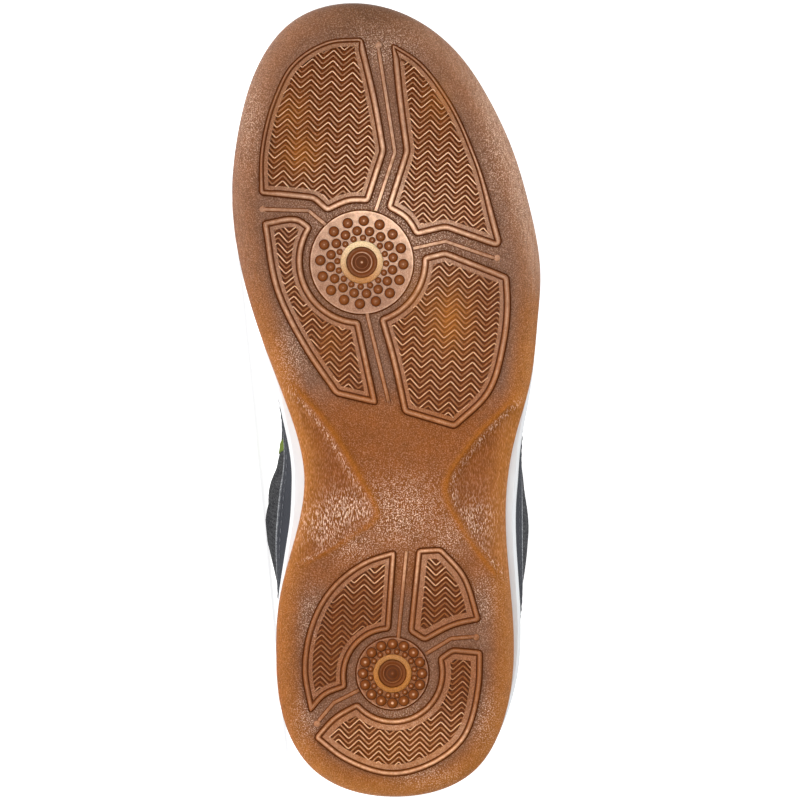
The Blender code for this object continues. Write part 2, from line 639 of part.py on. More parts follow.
def upper_wall():
    """Outer face of the upper above the bite line, its outward directions and its thickness."""
    bite = ring(side("seat"), side("bite"))
    top = np.column_stack((rib("top_x"), rib("top_y"), rib("top_z")))
    outward = np.column_stack((OUTWARD, np.zeros(AROUND)))
    up = np.array((0.0, 0.0, 1.0))
    low = bite + outward * rib("out_low")[:, None] + up * rib("up_low")[:, None]
    high = top + outward * rib("out_high")[:, None] - up * rib("down_high")[:, None]
    v = wall_shares()[:, :, None]
    corners = [p[:, None, :] for p in (bite, low, high, top)]
    weights = ((1 - v) ** 3, 3 * v * (1 - v) ** 2, 3 * v * v * (1 - v), v ** 3)
    face = sum(p * w for p, w in zip(corners, weights))
    around = np.roll(face, -1, 0) - np.roll(face, 1, 0)
    normal = np.cross(np.gradient(face, axis=1), around)
    normal /= np.linalg.norm(normal, axis=2)[:, :, None]
    padding = np.clip(rib("foam"), 0, None)[:, None] * smooth_step((v[:, :, 0] - FOAM_START) / FOAM_FADE)
    return face, normal, UPPER_WALL + padding


FACE, NORMAL, THICK = upper_wall()


def make_upper():
    """Hollow upper: one wall over the last, open at the throat, the collar and underneath."""
    inner = FACE - NORMAL * THICK[:, :, None]
    tip = FACE[:, -1] - FACE[:, -2]
    tip /= np.linalg.norm(tip, axis=1)[:, None]
    centre = (FACE[:, -1] + inner[:, -1]) / 2
    reach = (FACE[:, -1] - inner[:, -1]) / 2
    half = THICK[:, -1][:, None] / 2
    edge = [centre + reach * math.cos(a) + tip * half * math.sin(a) for a in np.radians(TOP_EDGE_ANGLES)]
    section = [footbed_ring(0.0)]
    section += [FACE[:, line] for line in range(FACE.shape[1])]
    section += edge
    section += [inner[:, line] for line in reversed(range(inner.shape[1]))]
    section.append(footbed_ring(UPPER_WALL))
    section.append(section[0])
    faces = wall_faces(len(section), AROUND)
    return make_solid("upper", np.concatenate(section), faces, "mesh_textile")


def make_overlay(name, stations, lines):
    """Overlay lying on the upper between two stations and between two lines of its wall."""
    grids = []
    for offset in (GAP, GAP + OVERLAY):
        grid = (FACE + NORMAL * offset)[stations][:, lines]
        grid[:, 0] += (grid[:, 1] - grid[:, 0]) * OVERLAY_HEM
        grids.append(grid)
    across, up = grids[0].shape[:2]
    points = np.concatenate([grid.reshape(-1, 3) for grid in grids])
    top = across * up
    faces = []
    for i in range(across - 1):
        for j in range(up - 1):
            a = i * up + j
            quad = (a, a + 1, a + up + 1, a + up)
            faces.append(quad)
            faces.append(tuple(top + k for k in quad))
    rim = [i * up for i in range(across)]
    rim += [(across - 1) * up + j for j in range(1, up)]
    rim += [i * up + up - 1 for i in reversed(range(across - 1))]
    rim += [j for j in reversed(range(1, up - 1))]
    for a, b in zip(rim, rim[1:] + rim[:1]):
        faces.append((a, b, top + b, top + a))
    return make_solid(name, points, faces, "slate_synthetic")


def stations_between(first, last):
    """Facet lines from one named station to another, going round by the inner side."""
    start, end = (KNOTS[name] for name in (first, last))
    length = (end - start) % PERIOD
    offset = np.mod(STATION - start, PERIOD)
    chosen = np.nonzero(offset <= length)[0]
    return chosen[np.argsort(offset[chosen])]


def make_overlays():
    """Toe guard, heel counter and eyestay."""
    lines = FACE.shape[1]
    low = np.arange(LOW_LANE + 1)
    top = np.arange(lines - TOP_LANE - 1, lines)
    make_overlay("toe_guard", stations_between("ball_outer", "ball_back_inner"), low)
    make_overlay("heel_counter", stations_between("arch_front_inner", "arch_front_outer"), low)
    make_overlay("eyestay", stations_between("arch_outer", "waist_inner"), top)


# Tongue and lace

def make_tongue():
    """Padded tongue under the eyestay, free at its top."""
    across = np.linspace(-1, 1, TONGUE_ACROSS + 1)
    rings = []
    for x, y, crown, half_width, droop in TONGUE:
        outer = [(x, y + half_width * t, crown - droop * t * t) for t in across]
        depth = TONGUE_EDGE + (TONGUE_THICK - TONGUE_EDGE) * (1 - across ** 4)
        inner = [(x, py, pz - d) for (_, py, pz), d in zip(outer, depth)]
        rings.append(outer + inner[::-1])
    count = len(rings[0])
    faces = wall_faces(len(rings), count)
    faces += strip_cap(0, count) + strip_cap((len(rings) - 1) * count, count)
    return make_solid("tongue", np.concatenate(rings), faces, "mesh_textile")


def strip_cap(start, count):
    """End of a strip whose loop runs along one face and back along the other."""
    half = count // 2
    return [(start + i, start + i + 1, start + count - i - 2, start + count - i - 1) for i in range(half - 1)]


def throat_points(x, outer_side):
    """Eyelet and throat edge on one side, level with x, each with the direction that stands off it."""
    first, last = ("arch_outer", "little_toe") if outer_side else ("joint_inner", "waist_inner")
    stations = stations_between(first, last)
    order = stations if outer_side else stations[::-1]
    level = FACE[order, -1, 0]
    found = []
    for share in (EYELET_PLACE, EDGE_PLACE):
        start = FACE[order, -1 - TOP_LANE]
        place = start + (FACE[order, -1] - start) * share
        facing = NORMAL[order, -1 - TOP_LANE] * (1 - share) + NORMAL[order, -1] * share
        row = np.column_stack((place, facing))
        found.append(np.array([np.interp(x, level, row[:, k]) for k in range(6)]))
    return found


def make_strap(name, route, facing):
    """Flat strap of lace along a route that crosses the throat, lying square to its facing."""
    heading = np.gradient(route, axis=0)
    over = np.cross(heading, facing)
    over /= np.linalg.norm(over, axis=1)[:, None]
    up = np.cross(over, heading)
    up /= np.linalg.norm(up, axis=1)[:, None]
    rings = []
    for a, b in ((-1, -1), (1, -1), (1, 1), (-1, 1)):
        rings.append(route + over * a * LACE_WIDTH / 2 + up * b * LACE_THICK / 2)
    points = np.concatenate(rings)
    count = len(route)
    faces = []
    for k in range(4):
        low = k * count
        high = (k + 1) % 4 * count
        faces += [(low + i, low + i + 1, high + i + 1, high + i) for i in range(count - 1)]
    faces.append(tuple(k * count for k in range(4)))
    faces.append(tuple(k * count + count - 1 for k in range(4)))
    return make_solid(name, points, faces, "lace_cord")


def make_lace():
    """Crossed lace: one bar at the foot of the throat and a cross between each two rows of eyelets."""
    inner = [throat_points(x, False) for x in EYELET_ROWS]
    outer = [throat_points(x, True) for x in EYELET_ROWS]
    pairs = [(inner[0], outer[0])]
    for row in range(len(EYELET_ROWS) - 1):
        pairs.append((inner[row], outer[row + 1]))
        pairs.append((inner[row + 1], outer[row]))
    straps = bpy.data.collections.new("lace_straps")
    bpy.context.scene.collection.children.link(straps)
    lace = None
    for index, (start, end) in enumerate(pairs):
        rows = np.array((*start, *end[::-1]))
        rows = np.insert(rows, 2, (rows[1] + rows[2]) / 2, axis=0)
        facing = rows[:, 3:] / np.linalg.norm(rows[:, 3:], axis=1)[:, None]
        route = rows[:, :3] + facing * (LACE_LIFT + index % 2 * LACE_OVER)
        route[2] -= facing[2] * LACE_DIP
        strap = make_strap(f"lace_strap_{index}", route, facing)
        if lace is None:
            lace = strap
            lace.name = "lace"
        else:
            strap.hide_render = True
            strap.display_type = "WIRE"
            bpy.context.scene.collection.objects.unlink(strap)
            straps.objects.link(strap)
    join = lace.modifiers.new("crossings", "BOOLEAN")
    join.operation = "UNION"
    join.operand_type = "COLLECTION"
    join.solver = "EXACT"
    join.collection = straps
    return lace


# Laying the shoe down

def lay_on_inner_side(pieces):
    """Turn the shoe onto the facet of its hull that its weight falls on, on the inner side."""
    weight = 0.0
    moment = Vector((0.0, 0.0, 0.0))
    hull = bmesh.new()
    for piece in pieces:
        work = bmesh.new()
        work.from_mesh(piece.data)
        bmesh.ops.triangulate(work, faces=work.faces)
        density = DENSITY[piece.data.materials[0].name]
        for face in work.faces:
            a, b, c = (vert.co for vert in face.verts)
            share = a.dot(b.cross(c)) / 6 * density
            weight += share
            moment += share * (a + b + c) / 4
        for vert in work.verts:
            hull.verts.new(vert.co)
        work.free()
    centre = moment / weight
    bmesh.ops.convex_hull(hull, input=hull.verts)
    hull.normal_update()
    down = None
    for face in hull.faces:
        foot = centre - face.normal * (centre - face.verts[0].co).dot(face.normal)
        sides = [(b.co - a.co).cross(foot - a.co).dot(face.normal)
                 for a, b in zip(face.verts, list(face.verts[1:]) + [face.verts[0]])]
        if face.normal.y < INNER_FACING and min(sides) > 0:
            down = face.normal.copy()
    hull.free()
    up = -down
    toe = Vector((1.0, 0.0, 0.0))
    toe = (toe - up * toe.dot(up)).normalized()
    turn = Matrix((-toe, toe.cross(up), up)).to_4x4()
    corners = np.array([turn @ vert.co for piece in pieces for vert in piece.data.vertices])
    lows = corners.min(axis=0)
    highs = corners.max(axis=0)
    middle = (lows + highs) / 2
    shoe = bpy.data.objects["shoe"]
    shoe.matrix_world = Matrix.Translation((-middle[0], -middle[1], -lows[2])) @ turn


def build():
    """The whole shoe."""
    for old in list(bpy.data.objects):
        bpy.data.objects.remove(old, do_unlink=True)
    shoe = bpy.data.objects.new("shoe", None)
    bpy.context.scene.collection.objects.link(shoe)
    for name in MATERIALS:
        make_material(name)
    pieces = [make_outsole(), make_midsole(), make_insole(), make_upper(), make_tongue()]
    make_overlays()
    make_lace()
    lay_on_inner_side(pieces)


build()
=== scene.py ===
import json
import math

import bmesh
import bpy
import numpy as np
from mathutils import Matrix, Vector
from mathutils.geometry import delaunay_2d_cdt


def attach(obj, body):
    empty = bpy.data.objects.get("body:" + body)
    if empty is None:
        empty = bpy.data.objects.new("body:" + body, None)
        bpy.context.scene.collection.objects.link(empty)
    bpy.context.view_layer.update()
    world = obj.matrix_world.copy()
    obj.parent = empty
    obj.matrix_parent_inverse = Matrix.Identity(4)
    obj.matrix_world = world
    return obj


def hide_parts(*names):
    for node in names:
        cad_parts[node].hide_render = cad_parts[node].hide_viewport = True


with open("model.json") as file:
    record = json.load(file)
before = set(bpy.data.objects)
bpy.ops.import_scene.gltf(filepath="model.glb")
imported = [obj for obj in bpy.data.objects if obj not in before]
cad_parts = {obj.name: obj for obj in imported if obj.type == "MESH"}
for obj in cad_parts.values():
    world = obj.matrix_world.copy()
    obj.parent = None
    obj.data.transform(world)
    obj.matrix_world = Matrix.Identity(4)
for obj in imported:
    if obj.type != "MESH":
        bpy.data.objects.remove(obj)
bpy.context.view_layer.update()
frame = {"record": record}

# How the shoe lies
# A left court shoe on its inner side, so its sole stands up like a page. Everything below is drawn
# standing, in millimetres: x from the back of the heel to the toe, y to the outer side, z up.

FOREFOOT_SPOT = (165.0, 20.0)
HEEL_SPOT = (44.0, -26.0)
MILLIMETRE = 0.001


def lying_matrix():
    """Matrix from the standing drawing to the frame, from the two spots that the tread stands on."""
    mounts = {mount["name"]: mount for mount in frame["record"]["mounts"]}
    front = Vector(mounts["forefoot_tread"]["pos_m"])
    back = Vector(mounts["heel_tread"]["pos_m"])
    up = -Vector(mounts["heel_tread"]["axis"]).normalized()
    along, across = (a - b for a, b in zip(FOREFOOT_SPOT, HEEL_SPOT))
    step = front - back
    toe = (step * along - up.cross(step) * across).normalized()
    outer = up.cross(toe)
    turn = Matrix((toe, outer, up)).transposed().to_4x4() @ Matrix.Scale(MILLIMETRE, 4)
    start = back - turn.to_3x3() @ Vector((*HEEL_SPOT, 0.0))
    return Matrix.Translation(start) @ turn


LAID = lying_matrix()

# Camera
# The photo looks square at the sole with the toe up, from far away. The camera does the same at the
# lying shoe, rolled so that the toe is up, and its frame is 287 mm high at the tread.

FRAME_CENTRE = Vector((142.6, 2.7, 0.0))
FRAME_HEIGHT = 286.9
CAMERA_DISTANCE = 4000.0
SENSOR = 36.0

camera_data = bpy.data.cameras.new("camera")
camera_data.sensor_width = SENSOR
camera_data.lens = SENSOR * CAMERA_DISTANCE / FRAME_HEIGHT
camera = bpy.data.objects.new("camera", camera_data)
bpy.context.scene.collection.objects.link(camera)
axes = LAID.to_3x3().normalized()
toe_way, outer_way, sole_way = axes.col[0], axes.col[1], -axes.col[2]
camera.matrix_world = Matrix((outer_way, toe_way, sole_way)).transposed().to_4x4()
camera.location = LAID @ FRAME_CENTRE + sole_way * CAMERA_DISTANCE * MILLIMETRE
bpy.context.scene.camera = camera

# Floor, backdrop and light
# A plain white sweep lit through from below, a lamp close behind the camera that the flat tread
# mirrors, a key over the toe and a soft one above, as in a product studio.

SWEEP_WIDTH = 12.0
SWEEP_FRONT = -7.0
SWEEP_BACK = 6.5
SWEEP_RADIUS = 1.2
SWEEP_HEIGHT = 4.5
SWEEP_STEPS = 16
PAPER = (0.88, 0.88, 0.88)
PAPER_GLOW = 0.82
WORLD_LIGHT = 0.15
# Lamps: name, place, what it points at, size, power, all in metres and watts
LAMPS = (
    ("front_lamp", (-0.13, -4.15, 0.104), (0.0, -0.05, 0.05), 0.56, 40.5),
    ("key_lamp", (-0.65, -1.0, 1.1), (0.0, -0.05, 0.05), 0.5, 9.0),
    ("top_lamp", (0.1, 0.3, 2.2), (0.0, 0.0, 0.05), 1.4, 32.0),
)

profile = [(SWEEP_FRONT, 0.0)]
for step in range(SWEEP_STEPS + 1):
    turn = math.pi / 2 * step / SWEEP_STEPS
    profile.append((SWEEP_BACK + SWEEP_RADIUS * math.sin(turn), SWEEP_RADIUS * (1 - math.cos(turn))))
profile.append((SWEEP_BACK + SWEEP_RADIUS, SWEEP_HEIGHT))
floor_points = [(x, y, z) for x in (-SWEEP_WIDTH, SWEEP_WIDTH) for y, z in profile]
floor_faces = [(i, i + len(profile), i + len(profile) + 1, i + 1) for i in range(len(profile) - 1)]
floor_mesh = bpy.data.meshes.new("floor")
floor_mesh.from_pydata(floor_points, [], floor_faces)
floor_mesh.shade_smooth()
floor = bpy.data.objects.new("floor", floor_mesh)
bpy.context.scene.collection.objects.link(floor)
paper = bpy.data.materials.new("white_paper")
paper.use_nodes = True
paper_shader = paper.node_tree.nodes["Principled BSDF"]
paper_shader.inputs["Base Color"].default_value = (*PAPER, 1.0)
paper_shader.inputs["Roughness"].default_value = 0.9
paper_shader.inputs["Specular IOR Level"].default_value = 0.0
paper_shader.inputs["Emission Color"].default_value = (1.0, 1.0, 1.0, 1.0)
paper_shader.inputs["Emission Strength"].default_value = PAPER_GLOW
floor_mesh.materials.append(paper)

for name, place, target, size, power in LAMPS:
    lamp_data = bpy.data.lights.new(name, "AREA")
    lamp_data.size = size
    lamp_data.energy = power
    lamp = bpy.data.objects.new(name, lamp_data)
    lamp.location = place
    lamp.rotation_euler = (Vector(target) - Vector(place)).to_track_quat("-Z", "Y").to_euler()
    bpy.context.scene.collection.objects.link(lamp)

world = bpy.data.worlds.new("studio")
world.use_nodes = True
world.node_tree.nodes["Background"].inputs["Color"].default_value = (1.0, 1.0, 1.0, 1.0)
world.node_tree.nodes["Background"].inputs["Strength"].default_value = WORLD_LIGHT
bpy.context.scene.world = world
bpy.context.scene.view_settings.view_transform = "Standard"

# Outsole
# One moulding of gum rubber: a flat tread that rolls up at its edge into a low wall, with raised panels
# for the ribs, two round pivot plates and a waist scooped out on both sides. The midsole is glued in.

# Outline of the sole, round by its inner side: name, x, y
OUTLINE = (
    ("toe_tip", 285.7, -15.0),
    ("toe_inner", 279.4, -35.6),
    ("big_toe", 265.0, -47.5),
    ("joint_inner", 243.4, -54.7),
    ("ball_inner", 214.6, -57.6),
    ("ball_back_inner", 189.4, -54.3),
    ("arch_front_inner", 160.0, -45.3),
    ("arch_inner", 138.6, -37.2),
    ("waist_inner", 114.5, -31.7),
    ("arch_back_inner", 92.2, -35.3),
    ("heel_front_inner", 70.6, -40.7),
    ("heel_inner", 50.0, -41.8),
    ("heel_turn_inner", 25.5, -38.3),
    ("heel_corner_inner", 10.3, -29.0),
    ("heel_back", 0.0, 1.5),
    ("heel_corner_outer", 10.3, 30.4),
    ("heel_turn_outer", 25.5, 39.3),
    ("heel_outer", 50.0, 43.6),
    ("heel_front_outer", 75.0, 42.4),
    ("waist_outer", 102.0, 40.7),
    ("arch_outer", 128.2, 43.9),
    ("arch_front_outer", 149.8, 49.7),
    ("ball_back_outer", 171.4, 52.2),
    ("ball_outer", 187.0, 53.2),
    ("joint_outer", 212.0, 49.3),
    ("little_toe", 232.6, 43.2),
    ("toe_side_outer", 250.6, 34.9),
    ("toe_turn_outer", 267.0, 24.0),
    ("toe_outer", 279.4, 9.0),
)
SIDE_COLUMNS = ("x", "roll", "gum_top", "lip_inner", "lip_outer", "seat_inner", "seat_outer", "bite")
SIDE = (
    (0.0, 5.5, 15.0, -0.6, -0.6, 5.5, 5.5, 31.0),
    (25.0, 6.2, 14.0, -0.5, 0.5, 5.5, 5.0, 30.0),
    (50.0, 6.5, 13.0, -0.3, 2.3, 5.0, 3.0, 29.0),
    (75.0, 5.5, 12.2, 0.8, 3.2, 3.5, 1.5, 28.0),
    (95.0, 4.0, 11.8, 3.0, 3.6, 1.0, 0.6, 27.0),
    (112.0, 3.5, 11.8, 4.6, 3.8, -0.8, 0.4, 26.5),
    (130.0, 4.0, 12.0, 3.8, 2.4, 0.0, 1.5, 25.5),
    (150.0, 6.0, 12.2, 1.5, 0.6, 2.5, 3.5, 24.0),
    (175.0, 7.5, 12.5, -0.4, -0.5, 4.8, 4.8, 22.0),
    (215.0, 8.0, 13.5, -0.6, -0.6, 5.2, 5.2, 21.5),
    (250.0, 9.0, 19.0, -0.8, -0.8, 6.0, 6.0, 24.5),
    (275.0, 10.0, 26.5, -1.2, -1.2, 7.0, 7.0, 30.5),
    (285.7, 10.0, 29.5, -1.4, -1.4, 7.5, 7.5, 33.5),
)
# Pivot discs: x, y, radius of the plate and radius of the dish in it
BALL_DISC = (192.0, -11.0, 18.4, 5.8)
HEEL_DISC = (44.5, 0.0, 12.8, 5.0)
CORNER, BEND, ROUND = "corner", "bend", "round"
# Tread panels: the disc that round sides turn about, and the outline in rows of x, y and kind
PANELS = {
    "toe_inner": (BALL_DISC, (
        (272.5, -11.0, CORNER), (271.5, -22.5, BEND), (263.0, -36.0, BEND), (250.5, -42.5, BEND),
        (232.0, -47.0, BEND), (216.5, -47.5, CORNER), (214.5, -28.5, CORNER), (210.0, -23.5, CORNER),
        (213.5, -15.0, BEND), (213.5, -8.5, CORNER), (232.0, -2.5, CORNER), (249.0, -5.5, BEND))),
    "toe_outer": (BALL_DISC, (
        (270.5, 0.0, CORNER), (265.0, 8.5, BEND), (250.5, 20.0, BEND), (229.0, 30.0, BEND),
        (199.0, 39.0, CORNER), (197.5, 37.5, CORNER), (204.0, 19.0, CORNER), (201.5, 8.5, CORNER),
        (207.5, 4.5, BEND), (211.5, -2.0, CORNER), (232.0, 4.5, CORNER), (250.5, 2.0, BEND))),
    "ball_inner": (BALL_DISC, (
        (206.5, -46.5, CORNER), (207.5, -33.0, BEND), (204.5, -29.0, ROUND), (171.0, -12.0, CORNER),
        (141.0, -5.5, CORNER), (144.5, -20.5, CORNER), (161.5, -32.0, BEND), (182.0, -42.0, BEND))),
    "ball_outer": (BALL_DISC, (
        (194.0, 11.0, CORNER), (196.0, 19.0, CORNER), (187.0, 41.5, CORNER), (177.0, 42.0, BEND),
        (162.5, 40.5, BEND), (145.0, 35.0, BEND), (132.5, 22.5, CORNER), (138.0, 4.0, CORNER),
        (158.0, -0.5, BEND), (172.0, -4.5, ROUND))),
    "heel_inner": (HEEL_DISC, (
        (88.5, 1.0, CORNER), (85.0, -9.5, BEND), (73.5, -23.5, BEND), (56.0, -31.0, BEND),
        (45.5, -32.0, BEND), (30.5, -29.5, CORNER), (36.5, -24.0, BEND), (39.5, -16.5, ROUND),
        (60.0, -1.0, CORNER))),
    "heel_outer": (HEEL_DISC, (
        (89.0, 9.0, CORNER), (89.5, 17.5, CORNER), (80.5, 25.5, BEND), (63.5, 31.5, CORNER),
        (61.5, 22.5, BEND), (56.0, 11.5, CORNER), (59.5, 6.0, CORNER))),
    "heel_back": (HEEL_DISC, (
        (50.0, 16.5, CORNER), (53.5, 21.5, CORNER), (52.5, 32.0, CORNER), (40.0, 31.5, BEND),
        (20.5, 25.5, BEND), (8.0, 0.0, BEND), (13.5, -17.5, BEND), (21.5, -28.0, CORNER),
        (29.0, -21.0, BEND), (34.0, -12.5, ROUND))),
}
# Ridges where the scooped sides of the waist start, and the side that each scoop lies on
SCOOP_INNER = ((81.0, -36.0), (92.0, -17.0), (101.5, -5.5), (115.5, -12.0), (136.0, -25.0), (152.0, -40.0))
SCOOP_OUTER = ((76.0, 40.0), (94.5, 26.5), (111.0, 19.0), (127.0, 28.0), (146.0, 47.0))
SCOOP_RIDGES = ((SCOOP_INNER, -1), (SCOOP_OUTER, 1))
SOLE_LENGTH = 285.7
HEEL_BEVEL_END, HEEL_BEVEL_RISE = 20.0, 4.0
TOE_SPRING_START, TOE_SPRING_RISE = 205.0, 14.0
ARCH_START, ARCH_END, ARCH_RISE = 86.0, 140.0, 2.5
SCOOP_DEPTH, SCOOP_FADE = 3.0, 6.0
LIP_HEIGHT, LIP_SPREAD = 0.8, 1.3
RIDGE_ROWS = (-3.4, -2.2, -1.2, -0.4, 0.4, 1.2, 2.2, 3.4, 5.0, 6.6)
OUTSOLE_THICK, GUM_WALL, GUM_LEAN, FLOOR_FILLET, ROLL_RISE = 4.5, 2.6, 0.5, 0.8, 0.9
AROUND = 288
OUTLINE_SAMPLES = 600
MERGE = 1e-4
# Levels of the tread, in millimetres behind its wearing face
BASE_LEVEL, LINE_LEVEL, RIM_LEVEL, RIM_ROUND, RIM_SHOULDER = 1.2, 1.4, 0.0, 0.06, 0.25
GROOVE_LEVEL, SHELF_LEVEL, RIB_FLOOR, PLATE_LEVEL, DISH_LEVEL = 0.8, 0.3, 1.15, 0.55, 2.2
# Widths across a panel's edge, in millimetres
RIM_WIDTH, TOE_RIM_WIDTH, HEEL_RIM_SHARE = 1.5, 0.6, 0.85
GROOVE_WIDTH, SHELF_WIDTH, HEEL_SHELF_WIDTH, STEP_WIDTH = 0.7, 1.3, 1.8, 0.25
LINE_OUTER, LINE_MIDDLE, LINE_INNER = 0.65, 0.4, 0.2
PLATE_BEVEL, RIB_TUCK = 0.6, 0.35
WIDE_SHELVES = ("heel_outer", "heel_back")
# How strong the painted highlight on the smooth tops is, and the painted shade in the floors (1) and the
# moulded lines (2)
RIM_CREST_HIGHLIGHT, RIM_HIGHLIGHT, SHELF_HIGHLIGHT, BALL_HIGHLIGHT, HEEL_HIGHLIGHT = 1.4, 0.9, 0.55, 0.75, 0.4
FLOOR_SHADE, GROOVE_SHADE, LINE_SHADE = 1.0, 1.4, 1.75
LOOP_STEP, CORNER_REACH, SHARP_TURN = 0.9, 4, 0.35
# A moved loop keeps the points that lie this share of the distance away, less a slack
CLEAR_SHARE, CLEAR_SLACK = 0.97, 0.01
TREAD_GRID, GRID_CLEARANCE = 2.4, 0.6
BORDER_REACH, BORDER_FADE, TOE_FADE = 17.0, 4.0, 25.0
# Lines up the rolled edge, shares of the gum wall, and inset and drop of the wall's rounded lip
ROLL_LINES, WALL_SHARES = 10, (0.25, 0.5, 0.75, 0.94)
WALL_LIP = ((0.12, 0.08), (0.45, 0.0))


def smooth_between(xs, ys, x):
    """Value at x on a curve through the rows of a table that never overshoots them."""
    xs = np.asarray(xs, float)
    ys = np.asarray(ys, float)
    step = np.diff(xs)
    grade = np.diff(ys) / step
    tangent = np.zeros(len(xs))
    both = grade[:-1] * grade[1:]
    total = grade[:-1] + grade[1:]
    tangent[1:-1] = np.where(both > 0, 2 * both / np.where(total == 0, 1, total), 0)
    tangent[0] = grade[0]
    tangent[-1] = grade[-1]
    x = np.clip(x, xs[0], xs[-1])
    row = np.clip(np.searchsorted(xs, x, side="right") - 1, 0, len(step) - 1)
    t = (x - xs[row]) / step[row]
    rise = ys[row] * (1 + 2 * t) * (1 - t) ** 2 + ys[row + 1] * t * t * (3 - 2 * t)
    return rise + step[row] * (tangent[row] * t * (1 - t) ** 2 - tangent[row + 1] * t * t * (1 - t))


def closed_spline(knots, values, period, at):
    """Points at the given parameters of a smooth closed curve through values at the knots."""
    knots = np.asarray(knots, float)
    values = np.asarray(values, float)
    count = len(knots)
    span = np.diff(np.append(knots, knots[0] + period))
    grade = (np.roll(values, -1, 0) - values) / span[:, None]
    system = np.zeros((count, count))
    for row in range(count):
        system[row, row - 1] += span[row - 1]
        system[row, row] += 2 * (span[row - 1] + span[row])
        system[row, (row + 1) % count] += span[row]
    bend = np.linalg.solve(system, 6 * (grade - np.roll(grade, 1, 0)))
    at = np.mod(np.asarray(at, float) - knots[0], period) + knots[0]
    row = np.clip(np.searchsorted(knots, at, side="right") - 1, 0, count - 1)
    after = (row + 1) % count
    h = span[row][:, None]
    s = (at - knots[row])[:, None]
    r = h - s
    cubic = (bend[row] * r ** 3 + bend[after] * s ** 3) / (6 * h)
    return cubic + (values[row] / h - bend[row] * h / 6) * r + (values[after] / h - bend[after] * h / 6) * s


def smooth_step(t):
    """Soft step from 0 to 1."""
    t = np.clip(t, 0.0, 1.0)
    return t * t * (3 - 2 * t)


def lengths_along(path):
    """Length walked along a path up to each of its points."""
    return np.concatenate(((0.0,), np.cumsum(np.linalg.norm(np.diff(path, axis=0), axis=1))))


def unit_rows(rows):
    """Rows of an array as directions of length one."""
    return rows / np.linalg.norm(rows, axis=1)[:, None]


def along_shoe(table, x):
    """Value at places x along the shoe, from a table of x and value."""
    return smooth_between(*np.array(table).T, x)


def outline_stations():
    """Knots of the named stations, and the parameter, place and outward direction of each line round."""
    points = np.array([row[1:] for row in OUTLINE])
    chords = np.linalg.norm(np.roll(points, -1, 0) - points, axis=1)
    knots = np.concatenate(((0.0,), np.cumsum(chords)[:-1]))
    period = chords.sum()
    heel = knots[[row[0] for row in OUTLINE].index("heel_back")]
    half = AROUND // 2
    params = []
    for start, end in ((0.0, heel), (heel, period)):
        fine = np.linspace(start, end, OUTLINE_SAMPLES)
        walk = closed_spline(knots, points, period, fine)
        length = lengths_along(walk)
        params.append(np.interp(np.arange(half) * length[-1] / half, length, fine))
    params = np.concatenate(params)
    place = closed_spline(knots, points, period, params)
    nudge = period / OUTLINE_SAMPLES
    ahead = closed_spline(knots, points, period, params + nudge)
    behind = closed_spline(knots, points, period, params - nudge)
    along = unit_rows(ahead - behind)
    outward = np.stack((-along[:, 1], along[:, 0]), axis=1)
    return dict(zip((row[0] for row in OUTLINE), knots)), period, params, place, outward


KNOTS, PERIOD, STATION, PLAN, OUTWARD = outline_stations()
INNER_HALF = np.arange(AROUND) < AROUND // 2


def side(name):
    """A column of the sole's side at every station, taking the inner or outer one where there are two."""
    table = np.array(SIDE)
    names = (name,) if name in SIDE_COLUMNS else (name + "_inner", name + "_outer")
    columns = [along_shoe(table[:, (0, SIDE_COLUMNS.index(column))], PLAN[:, 0]) for column in names]
    return np.where(INNER_HALF, columns[0], columns[-1])


def ring(inset, height):
    """Loop of points at an inset from the outline, at a height."""
    flat = PLAN - OUTWARD * np.broadcast_to(inset, AROUND)[:, None]
    return np.column_stack((flat, np.broadcast_to(height, AROUND)))


def ground(x):
    """Height of the tread's wearing face: heel bevel, flat heel, arch, flat ball and toe spring."""
    heel = HEEL_BEVEL_RISE * np.clip(1 - x / HEEL_BEVEL_END, 0, None) ** 2
    toe_run = SOLE_LENGTH - TOE_SPRING_START
    toe = TOE_SPRING_RISE * (np.clip(x - TOE_SPRING_START, 0, None) / toe_run) ** 2
    arch = np.sin(math.pi * np.clip((x - ARCH_START) / (ARCH_END - ARCH_START), 0, 1)) ** 2
    return heel + toe + ARCH_RISE * arch


def past_scoop_ridge(x, y, ridge, sign):
    """How far a place lies outside a ridge of the waist, and how far it is within the ridge's ends."""
    first, last = ridge[0][0], ridge[-1][0]
    within = smooth_step((x - first) / SCOOP_FADE) * smooth_step((last - x) / SCOOP_FADE)
    return sign * (y - along_shoe(ridge, x)), within


def scoop(x, y):
    """Depth of the scooped sides of the waist, outside the two ridges."""
    depth = np.zeros(np.shape(x))
    for ridge, sign in SCOOP_RIDGES:
        past, within = past_scoop_ridge(x, y, ridge, sign)
        depth = np.maximum(depth, SCOOP_DEPTH * within * smooth_step(past / SCOOP_FADE))
    return depth


def scoop_lip(x, y):
    """Height of the rounded lip along the ridges of the waist."""
    lip = np.zeros(np.shape(x))
    for ridge, sign in SCOOP_RIDGES:
        past, within = past_scoop_ridge(x, y, ridge, sign)
        lip = np.maximum(lip, LIP_HEIGHT * within * np.exp(-(past / LIP_SPREAD) ** 2))
    return lip


